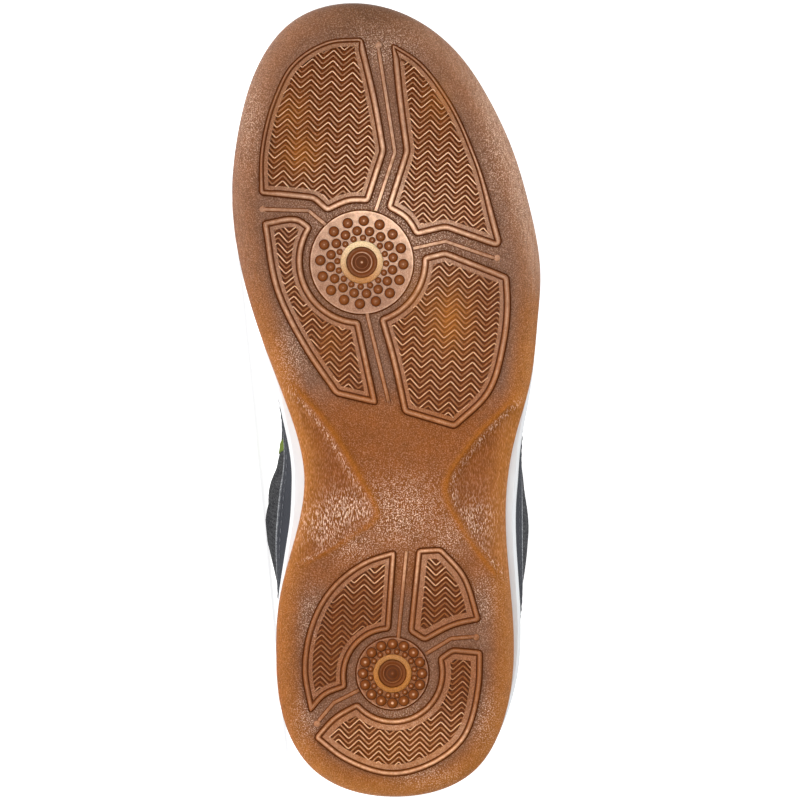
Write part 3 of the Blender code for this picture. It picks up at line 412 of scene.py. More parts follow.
def curve_through(points, step):
    """Points along a smooth open curve through the given ones, without the last."""
    points = np.asarray(points, float)
    chord = lengths_along(points)
    count = max(2, int(round(chord[-1] / step)))
    at = np.linspace(0, chord[-1], count + 1)[:-1]
    if len(points) == 2:
        return points[0] + (points[1] - points[0]) * (at / chord[-1])[:, None]
    tangent = np.gradient(points, chord, axis=0)
    row = np.clip(np.searchsorted(chord, at, side="right") - 1, 0, len(points) - 2)
    h = (chord[row + 1] - chord[row])[:, None]
    t = (at - chord[row])[:, None] / h
    rise = points[row] * (1 + 2 * t) * (1 - t) ** 2 + points[row + 1] * t * t * (3 - 2 * t)
    return rise + h * (tangent[row] * t * (1 - t) ** 2 - tangent[row + 1] * t * t * (1 - t))


def arc_about(disc, start, end, step):
    """Points of an arc about a disc's centre, the short way round, without the last."""
    centre = np.array(disc[:2])
    first, last = (math.atan2(*(np.array(p) - centre)[::-1]) for p in (start, end))
    turn = (last - first + math.pi) % (2 * math.pi) - math.pi
    radii = [np.linalg.norm(np.array(p) - centre) for p in (start, end)]
    count = max(3, int(round(abs(turn) * radii[0] / step)))
    t = np.arange(count) / count
    radius = radii[0] + (radii[1] - radii[0]) * t
    return centre + np.column_stack((np.cos(first + turn * t), np.sin(first + turn * t))) * radius[:, None]


def panel_loop(disc, rows, step):
    """Closed outline of a tread panel."""
    corners = [i for i, row in enumerate(rows) if row[2] != BEND]
    runs = []
    for i, start in enumerate(corners):
        end = corners[(i + 1) % len(corners)]
        stop = end if end > start else end + len(rows)
        run = [rows[k % len(rows)][:2] for k in range(start, stop + 1)]
        if rows[start][2] == ROUND:
            runs.append(arc_about(disc, run[0], run[-1], step))
        else:
            runs.append(curve_through(run, step))
    return np.concatenate(runs)


def distance_to_loop(points, loop):
    """Shortest distance from each point to a closed loop."""
    after = np.roll(loop, -1, 0)
    run = after - loop
    length = np.maximum(np.sum(run * run, axis=1), 1e-12)
    apart = points[:, None, :] - loop[None, :, :]
    t = np.clip(np.sum(apart * run, axis=2) / length, 0, 1)
    return np.linalg.norm(apart - run * t[:, :, None], axis=2).min(axis=1)


def inside_loop(points, loop):
    """Which of the points lie in a closed loop."""
    after = np.roll(loop, -1, 0)
    px, py = points[:, 0][:, None], points[:, 1][:, None]
    crosses = (loop[:, 1] > py) != (after[:, 1] > py)
    rise = np.where(after[:, 1] == loop[:, 1], 1, after[:, 1] - loop[:, 1])
    at = loop[:, 0] + (py - loop[:, 1]) / rise * (after[:, 0] - loop[:, 0])
    return np.sum(crosses & (at > px), axis=1) % 2 == 1


def moved_loop(loop, distance):
    """Closed loop moved outwards by a distance, or inwards by a negative one, with no crossings."""
    distance = np.broadcast_to(np.asarray(distance, float), len(loop))
    before = np.roll(loop, 1, 0)
    after = np.roll(loop, -1, 0)
    area = np.sum(loop[:, 0] * after[:, 1] - after[:, 0] * loop[:, 1])
    run = unit_rows(after - before)
    normal = np.stack((run[:, 1], -run[:, 0]), axis=1) * (1 if area > 0 else -1)
    moved = loop + normal * distance[:, None]
    clear = distance_to_loop(moved, loop) > np.abs(distance) * CLEAR_SHARE - CLEAR_SLACK
    right_side = (distance == 0) | (inside_loop(moved, loop) == (distance < 0))
    return moved[clear & right_side]


def spaced_loop(loop, step):
    """Closed loop with points at even steps along it, corners kept where they turn sharply."""
    run = np.linalg.norm(np.roll(loop, -1, 0) - loop, axis=1)
    keep = [0]
    walked = 0.0
    ahead = np.roll(loop, -1, 0) - loop
    angle = np.unwrap(np.arctan2(ahead[:, 1], ahead[:, 0]))
    turn = np.abs(np.diff(np.concatenate((angle[-1:], angle))))
    turn = np.minimum(turn % (2 * math.pi), 2 * math.pi - turn % (2 * math.pi))
    for i in range(1, len(loop)):
        walked += run[i - 1]
        if walked >= step or turn[i] > SHARP_TURN:
            keep.append(i)
            walked = 0.0
    return loop[keep]


def softened(loop, reach):
    """Closed loop with its corners rounded by a running mean over points on both sides."""
    return sum(np.roll(loop, k, 0) for k in range(-reach, reach + 1)) / (2 * reach + 1)


def in_toe(x):
    """How far into the toe a place along the shoe is, from 0 at the ball to 1."""
    return smooth_step((x - TOE_SPRING_START) / TOE_FADE)


def rim_width(loop):
    """Width of a panel's rim at each point: narrow beside the border of the toe."""
    near_border = smooth_step((BORDER_REACH - distance_to_loop(loop, PLAN)) / BORDER_FADE)
    return RIM_WIDTH + (TOE_RIM_WIDTH - RIM_WIDTH) * near_border * in_toe(loop[:, 0])


def circle(disc, radius, step):
    """Round loop about a disc's centre."""
    count = max(12, int(round(2 * math.pi * radius / step)))
    angles = np.arange(count) * 2 * math.pi / count
    return np.array(disc[:2]) + radius * np.column_stack((np.cos(angles), np.sin(angles)))


def tread_loops():
    """Loops of the tread's steps, each with its level and painted light, and the zones of the ribs."""
    loops = []
    zones = {}
    for name, (disc, rows) in PANELS.items():
        fine = softened(panel_loop(disc, rows, LOOP_STEP / 3), CORNER_REACH)
        width = rim_width(fine) * (HEEL_RIM_SHARE if disc is HEEL_DISC else 1.0)
        shelf = width + GROOVE_WIDTH
        inner = shelf + (HEEL_SHELF_WIDTH if name in WIDE_SHELVES else SHELF_WIDTH)
        # Offset outwards, level, painted highlight, painted shade and grain
        steps = (
            (LINE_OUTER, BASE_LEVEL, 0.0, 0.0, 1.0),
            (LINE_MIDDLE, LINE_LEVEL, 0.0, LINE_SHADE, 0.3),
            (LINE_INNER, BASE_LEVEL, 0.0, LINE_SHADE, 0.1),
            (0.0, RIM_SHOULDER, 0.35, 0.15, 0.1),
            (-0.25 * width, RIM_ROUND, RIM_HIGHLIGHT, 0.0, 0.1),
            (-0.5 * width, RIM_LEVEL, RIM_CREST_HIGHLIGHT, 0.0, 0.1),
            (-0.75 * width, RIM_ROUND, RIM_HIGHLIGHT, 0.0, 0.1),
            (-width, RIM_SHOULDER, 0.35, 0.15, 0.1),
            (-width - 0.35 * GROOVE_WIDTH, GROOVE_LEVEL, 0.0, GROOVE_SHADE, 0.1),
            (-width - 0.65 * GROOVE_WIDTH, GROOVE_LEVEL, 0.0, GROOVE_SHADE, 0.1),
            (-shelf, SHELF_LEVEL, SHELF_HIGHLIGHT, 0.0, 0.6),
            (-inner, SHELF_LEVEL, SHELF_HIGHLIGHT, 0.0, 0.6),
            (-inner - STEP_WIDTH, RIB_FLOOR, 0.0, FLOOR_SHADE, 0.3),
        )
        for offset, *values in steps:
            loops.append((spaced_loop(moved_loop(fine, offset), LOOP_STEP), values))
        zones[name] = spaced_loop(moved_loop(fine, -inner + RIB_TUCK), LOOP_STEP)
    for disc, plate_pale in ((BALL_DISC, BALL_HIGHLIGHT), (HEEL_DISC, HEEL_HIGHLIGHT)):
        # Radius, level, painted highlight, painted shade and grain
        rounds = (
            (disc[2] + LINE_OUTER, BASE_LEVEL, 0.0, 0.0, 1.0),
            (disc[2] + LINE_MIDDLE, LINE_LEVEL, 0.0, LINE_SHADE, 0.3),
            (disc[2] + LINE_INNER, BASE_LEVEL, 0.0, LINE_SHADE, 0.1),
            (disc[2], PLATE_LEVEL, RIM_CREST_HIGHLIGHT, 0.0, 0.25),
            (disc[2] - PLATE_BEVEL, PLATE_LEVEL, plate_pale, 0.0, 0.4),
            (disc[3] + PLATE_BEVEL, PLATE_LEVEL, plate_pale, 0.0, 0.4),
            (disc[3], DISH_LEVEL, 0.0, FLOOR_SHADE, 0.2),
        )
        for radius, *values in rounds:
            loops.append((circle(disc, radius, LOOP_STEP), values))
    return loops, zones


def tread_height(x, y, level):
    """Height of the tread at a level behind its wearing face, with the scoops and their lips on its base."""
    base = level >= BASE_LEVEL - 0.01
    return ground(x) + level + np.where(base, scoop(x, y) - scoop_lip(x, y), 0.0)


def ridge_places():
    """Places in rows along the ridges of the waist, close enough to carry their lips."""
    rows = []
    for ridge, sign in SCOOP_RIDGES:
        x = np.arange(ridge[0][0], ridge[-1][0], 1.0)
        y = along_shoe(ridge, x)
        stretch = np.sqrt(1 + np.gradient(y, x) ** 2)
        rows += [np.column_stack((x, y + sign * offset * stretch)) for offset in RIDGE_ROWS]
    return np.concatenate(rows)


def tread_surface(edge, loops):
    """Points, triangles and shades of the tread inside its edge."""
    base = (BASE_LEVEL, 0.0, 0.0, 1.0)
    points = []
    values = []
    edges = []
    for loop, row in ((edge, base), *loops):
        start = len(points)
        edges += [(start + i, start + (i + 1) % len(loop)) for i in range(len(loop))]
        points += [tuple(p) for p in loop]
        values += [row] * len(loop)
    taken = np.array(points)
    lows, highs = edge.min(axis=0), edge.max(axis=0)
    columns = np.arange(lows[0], highs[0], TREAD_GRID)
    rows = np.arange(lows[1], highs[1], TREAD_GRID)
    grid = np.array([(x, y + TREAD_GRID / 2 * (k % 2)) for k, x in enumerate(columns) for y in rows])
    grid = np.concatenate((ridge_places(), grid))
    grid = grid[inside_loop(grid, edge)]
    near = np.array([np.min(np.linalg.norm(taken - p, axis=1)) for p in grid])
    grid = grid[near > GRID_CLEARANCE]
    grid_rows = np.zeros(len(grid), int)
    for number, (loop, _) in enumerate(loops):
        grid_rows = np.where(inside_loop(grid, loop), number + 1, grid_rows)
    points += [tuple(p) for p in grid]
    values += [(base, *(row for _, row in loops))[number] for number in grid_rows]
    flat, _, triangles, origins, _, _ = delaunay_2d_cdt([Vector(p) for p in points], edges, [], 1, 1e-5)
    flat = np.array([tuple(p) for p in flat])
    known = np.array(points)
    nearest = [o[0] if o and o[0] < len(points) else int(np.argmin(np.linalg.norm(known - p, axis=1)))
               for p, o in zip(flat, origins)]
    shades = np.array(values)[nearest]
    height = tread_height(flat[:, 0], flat[:, 1], shades[:, 0])
    return np.column_stack((flat, height)), [tuple(t) for t in triangles], shades[:, 1:]


def wall_faces(rows, across, start=0, closed=True):
    """Quads of a grid of rows of points, closed round each row where asked."""
    faces = []
    for row in range(rows - 1):
        for i in range(across if closed else across - 1):
            j = (i + 1) % across
            low = start + row * across
            faces.append((low + i, low + j, low + across + j, low + across + i))
    return faces


def ladder_faces(start, count):
    """Cap of a loop by rungs from its first half to its second half."""
    faces = [(start, start + 1, start + count - 1)]
    for i in range(1, count // 2 - 1):
        faces.append((start + i, start + i + 1, start + count - i - 1, start + count - i))
    half = count // 2
    faces.append((start + half - 1, start + half, start + half + 1))
    return faces


def add_values(mesh, name, values):
    """Store one number, or one vector, for each point of a mesh."""
    values = np.asarray(values, np.float32)
    kind, field = ("FLOAT_VECTOR", "vector") if values.ndim == 2 else ("FLOAT", "value")
    attribute = mesh.attributes.new(name, kind, "POINT")
    attribute.data.foreach_set(field, values.ravel())


def faced_out(mesh, merge=0.0):
    """The mesh with its faces pointing out, after its doubles within a distance are merged."""
    work = bmesh.new()
    work.from_mesh(mesh)
    if merge:
        bmesh.ops.remove_doubles(work, verts=work.verts, dist=merge)
    bmesh.ops.recalc_face_normals(work, faces=work.faces)
    work.to_mesh(mesh)
    work.free()
    return mesh


def plain_mesh(name, points, edges=(), faces=()):
    """Mesh from points and the edges or faces between them."""
    mesh = bpy.data.meshes.new(name)
    mesh.from_pydata(np.asarray(points).tolist(), edges, faces)
    return mesh


def drawn_mesh(name, points, faces, **values):
    """Closed mesh from drawn points and their values, with its doubles merged and its faces pointing out."""
    mesh = plain_mesh(name, points, faces=faces)
    for key, numbers in values.items():
        add_values(mesh, key, numbers)
    return faced_out(mesh, MERGE)


def mesh_points(mesh):
    """Places of a mesh's points."""
    flat = np.zeros(len(mesh.vertices) * 3, np.float32)
    mesh.vertices.foreach_get("co", flat)
    return flat.reshape(-1, 3).astype(float)


def lay_piece(name, mesh, material, nodes=(), sharp=40.0):
    """Piece of the shoe from a drawn mesh: shaded, laid down with the shoe and riding on it."""
    add_values(mesh, "drawn", mesh_points(mesh))
    mesh.transform(LAID)
    mesh.shade_smooth()
    mesh.set_sharp_from_angle(angle=math.radians(sharp))
    mesh.materials.clear()
    mesh.materials.append(material)
    piece = bpy.data.objects.new(name, mesh)
    bpy.context.scene.collection.objects.link(piece)
    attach(piece, "root")
    if nodes:
        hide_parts(*nodes)
    return piece


def outsole_floor(clearance):
    """Edge of the floor inside the gum wall, or of what sits on it with a clearance."""
    loop = ring(GUM_WALL + FLOOR_FILLET + clearance, 0.0)
    loop[:, 2] = ground(loop[:, 0]) + BASE_LEVEL + OUTSOLE_THICK + clearance
    return loop


def outsole_mesh(loops):
    """Tread, rolled edge, low wall and the floor inside it."""
    roll = side("roll")
    edge = ring(roll, 0.0)
    low = tread_height(edge[:, 0], edge[:, 1], np.full(AROUND, BASE_LEVEL))
    top = side("gum_top")
    rings = []
    for angle in np.radians(np.linspace(0, 90, ROLL_LINES)):
        inset = roll * (1 - math.sin(angle))
        rings.append(ring(inset, low + ROLL_RISE * roll * (1 - math.cos(angle))))
    start = rings[-1][:, 2]
    for share in WALL_SHARES:
        rings.append(ring(GUM_LEAN * share, start + (top - start) * share))
    for inset, drop in WALL_LIP:
        rings.append(ring(GUM_LEAN + inset, top - drop))
    rings.append(ring(GUM_WALL, top))
    rings.append(outsole_floor(0.0))
    tread, triangles, shades = tread_surface(edge[:, :2], loops)
    faces = triangles + wall_faces(len(rings), AROUND, len(tread))
    faces += ladder_faces(len(tread) + (len(rings) - 1) * AROUND, AROUND)
    points = np.concatenate((tread, *rings))
    rolled = np.tile((0.0, 0.0, 1.0), (len(points) - len(tread), 1))
    shades = np.concatenate((shades, rolled))
    return drawn_mesh("gum_outsole", points, faces, pale=shades[:, 0], dark=shades[:, 1], grain=shades[:, 2])


# Gum rubber, shared by everything that is moulded with the outsole
# Half clear brown rubber: dull and tan on the forefoot, which takes the wear, orange where it is thin at
# the waist and the edges, with a fine leather grain between the panels and a brushed grain in the scoops.
# Its colour also carries painted light: painted highlights on the smooth tops, painted glints on the
# grain, a painted sheen along the rolled edge of the forefoot, a painted glow, painted shade on the tip
# of the toe and painted shade in the floors, grooves and moulded lines.

# How warm the rubber's colour is along the shoe, and how far its thin edge lets light through
WARM_ALONG = ((0, 0.9), (20, 0.8), (45, 0.75), (70, 0.75), (90, 0.8), (115, 1.0), (145, 0.95), (165, 0.5),
              (190, 0.2), (215, 0.1), (285.7, 0.0))
THIN_ALONG = ((0, 0.68), (40, 0.65), (75, 0.65), (110, 0.68), (150, 0.75), (175, 0.45), (195, 0.12),
              (240, 0.0), (285.7, 0.0))
# Painted sheen along the rolled edge of the forefoot: strength along, reach, inner and outer share, colour
EDGE_SHEEN_ALONG = ((175, 0.0), (200, 0.8), (250, 0.8), (266, 0.5), (280, 0.25), (285.7, 0.0))
EDGE_SHEEN_REACH, EDGE_SHEEN_INNER, EDGE_SHEEN_OUTER, EDGE_SHEEN_GUM = 9.0, 0.45, 1.05, (0.46, 0.272, 0.182)
# Painted shade on the tip of the toe: x, y, reach along, reach across, strength
TOE_SHADES = ((284.0, -9.0, 13.0, 20.0, 0.95),)
TOE_SHADE_GUM = (0.135, 0.057, 0.026)
THIN_REACH = 10.0
# Where the grainy channels between the panels start: from the edge, and along the forefoot and the heel
CHANNEL_START, CHANNEL_FADE = 5.0, 6.0
FOREFOOT_START, FOREFOOT_FADE = 138.0, 14.0
HEEL_CHANNEL, HEEL_END, HEEL_FADE = 0.85, 80.0, 12.0
# How far the painted shine is dulled beside the border of the toe, and where the scoops' brushed grain starts
DULL_REACH, DULL_SHARE = 14.0, 0.65
BRUSH_START, BRUSH_FADE = 0.8, 1.5
# How many points are measured against the outline at a time
EDGE_BATCH = 2000
TAN_GUM, ORANGE_GUM, THIN_GUM = (0.225, 0.091, 0.040), (0.249, 0.073, 0.0133), (0.44, 0.163, 0.030)
CHANNEL_GUM, RIDGE_GUM, GLOW_GUM = (0.195, 0.088, 0.048), (0.32, 0.096, 0.005), (0.52, 0.185, 0.024)
# Colours of the painted shade in the floors, tan or orange, and in the moulded lines
SHADED_TAN, SHADED_ORANGE, LINE_SHADE_GUM = (0.150, 0.034, 0.003), (0.165, 0.038, 0.003), (0.070, 0.022, 0.008)
# Colours of the painted highlights on the smooth tops, and of the painted glints
HIGHLIGHT_TAN, HIGHLIGHT_ORANGE, GLINT_GUM = (0.88, 0.53, 0.34), (0.72, 0.34, 0.15), (0.98, 0.70, 0.53)
# Colours of the golden rings in painted shade and in painted light
RING_SHADED, RING_LIT = (0.40, 0.150, 0.028), (0.82, 0.62, 0.36)
# Places with a painted glow for light shining through thin rubber: x, y, reach along, reach across, strength
GLOWS = ((172.0, 20.5, 10.0, 7.0, 0.6), (180.0, 9.0, 10.0, 6.0, 0.2), (250.0, 17.0, 8.0, 5.0, 0.22),
         (231.0, -33.0, 7.0, 7.0, 0.4), (245.0, -36.0, 9.0, 6.0, 0.25), (163.0, -22.0, 8.0, 5.0, 0.15),
         (181.0, -22.0, 9.0, 9.0, 0.07), (20.0, 3.0, 11.0, 20.0, 0.15))
# Where the smooth tops take most painted highlight: x, y, reach along, reach across, strength, over an even
# share
SHINES = ((207.0, -3.0, 20.0, 22.0, 0.85), (230.0, -9.0, 24.0, 14.0, 0.3), (212.0, 22.0, 18.0, 12.0, 0.45),
          (160.0, 14.0, 12.0, 18.0, 0.2), (180.0, -38.0, 16.0, 8.0, 0.15),
          (85.0, 6.0, 9.0, 16.0, 0.35), (18.0, 2.0, 12.0, 26.0, 0.75))
SHINE_ALONG = ((0, 0.22), (20, 0.24), (34, 0.08), (66, 0.08), (80, 0.18), (110, 0.25), (145, 0.2),
               (200, 0.18), (285.7, 0.16))
# Ridges of the waist: strength and spread of their colour, and strength, place and spread of their painted
# glint
RIDGE_STRENGTH, RIDGE_SPREAD = 0.8, 1.5
RIDGE_GLINT, RIDGE_GLINT_PAST, RIDGE_GLINT_SPREAD = 1.0, 2.4, 1.2
# Places where the grain carries painted glints: x, y, reach along, reach across, strength
GLINTS = ((102.5, 3.0, 11.0, 15.0, 1.0), (91.0, -14.0, 6.0, 8.0, 0.8), (93.0, 20.0, 7.0, 6.0, 0.8),
          (103.8, -16.0, 5.0, 9.0, 1.8), (98.0, -24.0, 7.0, 8.0, 1.1), (99.0, 30.0, 7.0, 5.0, 1.2),
          (269.0, -3.0, 7.0, 12.0, 0.45), (205.0, 0.0, 22.0, 26.0, 0.65), (246.0, -52.0, 20.0, 5.0, 0.5),
          (240.0, 38.0, 28.0, 6.0, 0.5), (222.0, 45.0, 18.0, 5.0, 0.5), (26.0, 8.0, 8.0, 16.0, 0.4),
          (160.0, -36.0, 12.0, 5.0, 0.6), (65.0, -29.0, 9.0, 4.0, 0.6), (71.0, 33.0, 9.0, 4.0, 0.6),
          (29.0, -31.0, 9.0, 4.0, 0.5), (28.0, 33.0, 10.0, 4.0, 0.5), (8.0, 12.0, 4.0, 10.0, 0.6))
# Noises in the rubber, in waves a millimetre: grain, clouds, blotches, shimmer, brushed streaks, smears
GRAIN_SCALE, CLOUD_SCALE, BLOTCH_SCALE, SHIMMER_SCALE = 2.3, 0.05, 0.2, 0.45
STREAK_SCALE, SMEAR_SCALE = (0.75, 3.4, 0.8), (0.16, 1.3, 0.8)
# Depth of a moulded grain, in metres
GRAIN_DEPTH = 0.0003
# From what is stored to painted highlight and painted glint: gain, and start or least
HIGHLIGHT_GAIN, HIGHLIGHT_START, GLINT_GAIN, GLINT_LEAST = 1.43, -0.43, 0.85, 0.1


def patches(rows, x, y):
    """Strength at each place of soft patches, in rows of x, y, reach along, reach across and strength."""
    shade = np.zeros(len(x))
    for patch_x, patch_y, along, across, strength in rows:
        away = ((x - patch_x) / along) ** 2 + ((y - patch_y) / across) ** 2
        shade = np.maximum(shade, strength * np.exp(-away))
    return shade


def gum_values(mesh, warmer=0.0):
    """Store what the gum's look depends on at each point of a mesh."""
    x, y, _ = mesh_points(mesh).T
    flat = np.column_stack((x, y))
    batches = np.array_split(flat, max(1, len(flat) // EDGE_BATCH))
    edge = np.concatenate([distance_to_loop(batch, PLAN) for batch in batches])
    brushed = np.zeros(len(x))
    ridge = np.zeros(len(x))
    glint = patches(GLINTS, x, y)
    for line, sign in SCOOP_RIDGES:
        past, within = past_scoop_ridge(x, y, line, sign)
        brushed = np.maximum(brushed, within * smooth_step((past - BRUSH_START) / BRUSH_FADE))
        ridge = np.maximum(ridge, RIDGE_STRENGTH * within * np.exp(-(past / RIDGE_SPREAD) ** 2))
        beside = np.exp(-((past - RIDGE_GLINT_PAST) / RIDGE_GLINT_SPREAD) ** 2)
        glint = np.maximum(glint, RIDGE_GLINT * within * beside)
    between = smooth_step((x - FOREFOOT_START) / FOREFOOT_FADE)
    between = between + HEEL_CHANNEL * smooth_step((HEEL_END - x) / HEEL_FADE)
    toe_border = smooth_step((DULL_REACH - edge) / BORDER_FADE) * in_toe(x)
    # Painted shine: how strongly the smooth tops take their painted highlight
    shine = patches(SHINES, x, y) + along_shoe(SHINE_ALONG, x)
    thin = smooth_step((THIN_REACH - edge) / THIN_REACH) * along_shoe(THIN_ALONG, x)
    edge_sheen = smooth_step((EDGE_SHEEN_REACH - edge) / EDGE_SHEEN_REACH) * along_shoe(EDGE_SHEEN_ALONG, x)
    warm = along_shoe(WARM_ALONG, x) + warmer
    shades = {
        "brushed": brushed,
        "ridge": ridge,
        "glint": glint,
        "channel": smooth_step((edge - CHANNEL_START) / CHANNEL_FADE) * between,
        "shine": shine * (1 - DULL_SHARE * toe_border),
        "glow": patches(GLOWS, x, y),
        # Painted shade on the tip of the toe
        "darkening": patches(TOE_SHADES, x, y),
        "thin": thin,
        "edge_sheen": edge_sheen * np.where(y > 0, EDGE_SHEEN_OUTER, EDGE_SHEEN_INNER),
        "warm": np.minimum(warm, 1.0),
    }
    for name, values in shades.items():
        add_values(mesh, name, values)


def new_material(name):
    """Node material with its tree and its shader."""
    material = bpy.data.materials.new(name)
    material.use_nodes = True
    tree = material.node_tree
    return material, tree, tree.nodes["Principled BSDF"]


def feed(tree, node, values):
    """Give a node's inputs, by name or number, a value or a socket to read."""
    for key, value in values.items():
        if isinstance(value, bpy.types.NodeSocket):
            tree.links.new(value, node.inputs[key])
        else:
            node.inputs[key].default_value = value


def add_node(tree, kind, **settings):
    """Node of a tree, with properties set by name and inputs by the names or numbers in values."""
    values = settings.pop("values", {})
    node = tree.nodes.new(kind)
    for name, value in settings.items():
        setattr(node, name, value)
    feed(tree, node, values)
    return node


def attribute(tree, name, output="Fac"):
    """Output of a stored value of the piece."""
    return add_node(tree, "ShaderNodeAttribute", attribute_name=name).outputs[output]


def noise(tree, place, scale, detail=3.0, roughness=0.5):
    """Value of a noise in the shoe's own millimetres."""
    values = {"Vector": place, "Scale": scale, "Detail": detail, "Roughness": roughness}
    return add_node(tree, "ShaderNodeTexNoise", values=values).outputs["Fac"]


def math_node(tree, operation, first, second=0.5, third=0.5):
    """Result of one sum on values or sockets."""
    values = {0: first, 1: second, 2: third}
    return add_node(tree, "ShaderNodeMath", operation=operation, values=values).outputs[0]


def mixed(tree, share, first, second, blend="MIX"):
    """Colour between two, each a socket or a tuple."""
    first, second = ((*shade, 1.0) if isinstance(shade, tuple) else shade for shade in (first, second))
    values = {0: share, 6: first, 7: second}
    return add_node(tree, "ShaderNodeMix", data_type="RGBA", blend_type=blend, values=values).outputs[2]


def spread(tree, value, low, high, to_low=0.0, to_high=1.0):
    """Value mapped from one range to another and held inside it."""
    values = {0: value, 1: low, 2: high, 3: to_low, 4: to_high}
    return add_node(tree, "ShaderNodeMapRange", clamp=True, values=values).outputs[0]


def stretched(tree, place, scale):
    """Coordinates stretched by a scale along each axis."""
    return add_node(tree, "ShaderNodeMapping", values={"Vector": place, "Scale": scale}).outputs[0]


def gum_group():
    """Shader group of the gum's colour, with its painted highlights, glints, glow and shade, and its
    roughness, grain and gloss.
    """
    tree = bpy.data.node_groups.new("gum_surface", "ShaderNodeTree")
    tree.interface.new_socket("Color", in_out="OUTPUT", socket_type="NodeSocketColor")
    for name in ("Roughness", "Height", "Gloss"):
        tree.interface.new_socket(name, in_out="OUTPUT", socket_type="NodeSocketFloat")
    result = tree.nodes.new("NodeGroupOutput")
    place = attribute(tree, "drawn", "Vector")
    brushed, dark, ridge = (attribute(tree, name) for name in ("brushed", "dark", "ridge"))
    fine = noise(tree, place, GRAIN_SCALE, 2.0, 0.6)
    streak = noise(tree, stretched(tree, place, STREAK_SCALE), 1.0, 2.0, 0.6)
    cloud = noise(tree, place, CLOUD_SCALE, 3.0, 0.55)
    patch = noise(tree, place, BLOTCH_SCALE, 4.0, 0.6)
    relief = mixed(tree, brushed, fine, streak)
    grain = math_node(tree, "MULTIPLY", attribute(tree, "grain"), math_node(tree, "SUBTRACT", 1.0, ridge))
    # Painted highlight on the smooth tops, scaled by the painted shine and a shimmer
    pale = math_node(tree, "MULTIPLY_ADD", attribute(tree, "pale"), HIGHLIGHT_GAIN, HIGHLIGHT_START)
    pale = math_node(tree, "MAXIMUM", pale, 0.0)
    uneven = spread(tree, noise(tree, place, SHIMMER_SCALE, 2.0, 0.6), 0.35, 0.65, 0.6, 1.3)
    lit = math_node(tree, "MULTIPLY", pale, math_node(tree, "MULTIPLY", attribute(tree, "shine"), uneven))
    warm = math_node(tree, "ADD", attribute(tree, "warm"), spread(tree, cloud, 0.3, 0.7, -0.15, 0.15))
    warm = spread(tree, warm, 0.0, 1.0)
    low = math_node(tree, "MULTIPLY", attribute(tree, "channel"), spread(tree, grain, 0.7, 1.0))
    colour = mixed(tree, low, mixed(tree, warm, TAN_GUM, ORANGE_GUM), CHANNEL_GUM)
    colour = mixed(tree, spread(tree, attribute(tree, "thin"), 0.0, 1.0), colour, THIN_GUM)
    smear = noise(tree, stretched(tree, place, SMEAR_SCALE), 1.0, 3.0, 0.6)
    # Painted sheen along the rolled edge, in streaks
    edge_sheen = math_node(tree, "MULTIPLY", attribute(tree, "edge_sheen"), spread(tree, smear, 0.35, 0.65, 0.5, 1.3))
    colour = mixed(tree, edge_sheen, colour, EDGE_SHEEN_GUM)
    # Painted shade on the tip of the toe
    colour = mixed(tree, attribute(tree, "darkening"), colour, TOE_SHADE_GUM)
    colour = mixed(tree, ridge, colour, RIDGE_GUM)
    # Golden ring, painted lighter towards the toe
    ring_colour = mixed(tree, attribute(tree, "tone"), RING_SHADED, RING_LIT)
    colour = mixed(tree, attribute(tree, "gold"), colour, ring_colour)
    # Blotches of tone, times a tint that follows the grain: painted shade in its hollows, painted light on
    # its crests
    shade = math_node(tree, "MULTIPLY", spread(tree, patch, 0.3, 0.7, 0.9, 1.08),
                      spread(tree, relief, 0.3, 0.7, 0.68, 1.25))
    tint = add_node(tree, "ShaderNodeCombineColor", values={0: shade, 1: shade, 2: shade}).outputs[0]
    colour = mixed(tree, 1.0, colour, tint, "MULTIPLY")
    # Painted glints on the peaks of the grain
    peak = math_node(tree, "MULTIPLY", spread(tree, relief, 0.52, 0.64), grain)
    glint = math_node(tree, "MULTIPLY_ADD", attribute(tree, "glint"), GLINT_GAIN, GLINT_LEAST)
    glint = math_node(tree, "MULTIPLY", peak, glint)
    colour = mixed(tree, glint, colour, GLINT_GUM)
    # Painted shade in the floors between the ribs, at the feet of the domes and in the moulded lines
    colour = mixed(tree, spread(tree, dark, 0.3, 0.95), colour, mixed(tree, warm, SHADED_TAN, SHADED_ORANGE))
    colour = mixed(tree, spread(tree, dark, 1.2, 1.9), colour, LINE_SHADE_GUM)
    smooth_highlight = mixed(tree, warm, HIGHLIGHT_TAN, HIGHLIGHT_ORANGE)
    grained_highlight = mixed(tree, spread(tree, fine, 0.35, 0.65), smooth_highlight, GLINT_GUM)
    colour = mixed(tree, lit, colour, mixed(tree, 0.35, smooth_highlight, grained_highlight))
    # Painted glow of light through thin rubber
    colour = mixed(tree, attribute(tree, "glow"), colour, GLOW_GUM)
    feed(tree, result, {
        "Color": colour,
        "Roughness": spread(tree, patch, 0.3, 0.7, 0.42, 0.55),
        "Height": math_node(tree, "MULTIPLY", relief, grain),
        "Gloss": spread(tree, pale, 0.0, 1.0, 0.02, 0.22),
    })
    return tree


def bumped(tree, height, strength, depth):
    """Normal of a relief from a height, with a strength and a depth in metres."""
    values = {"Strength": strength, "Distance": depth, "Height": height}
    return add_node(tree, "ShaderNodeBump", values=values).outputs[0]


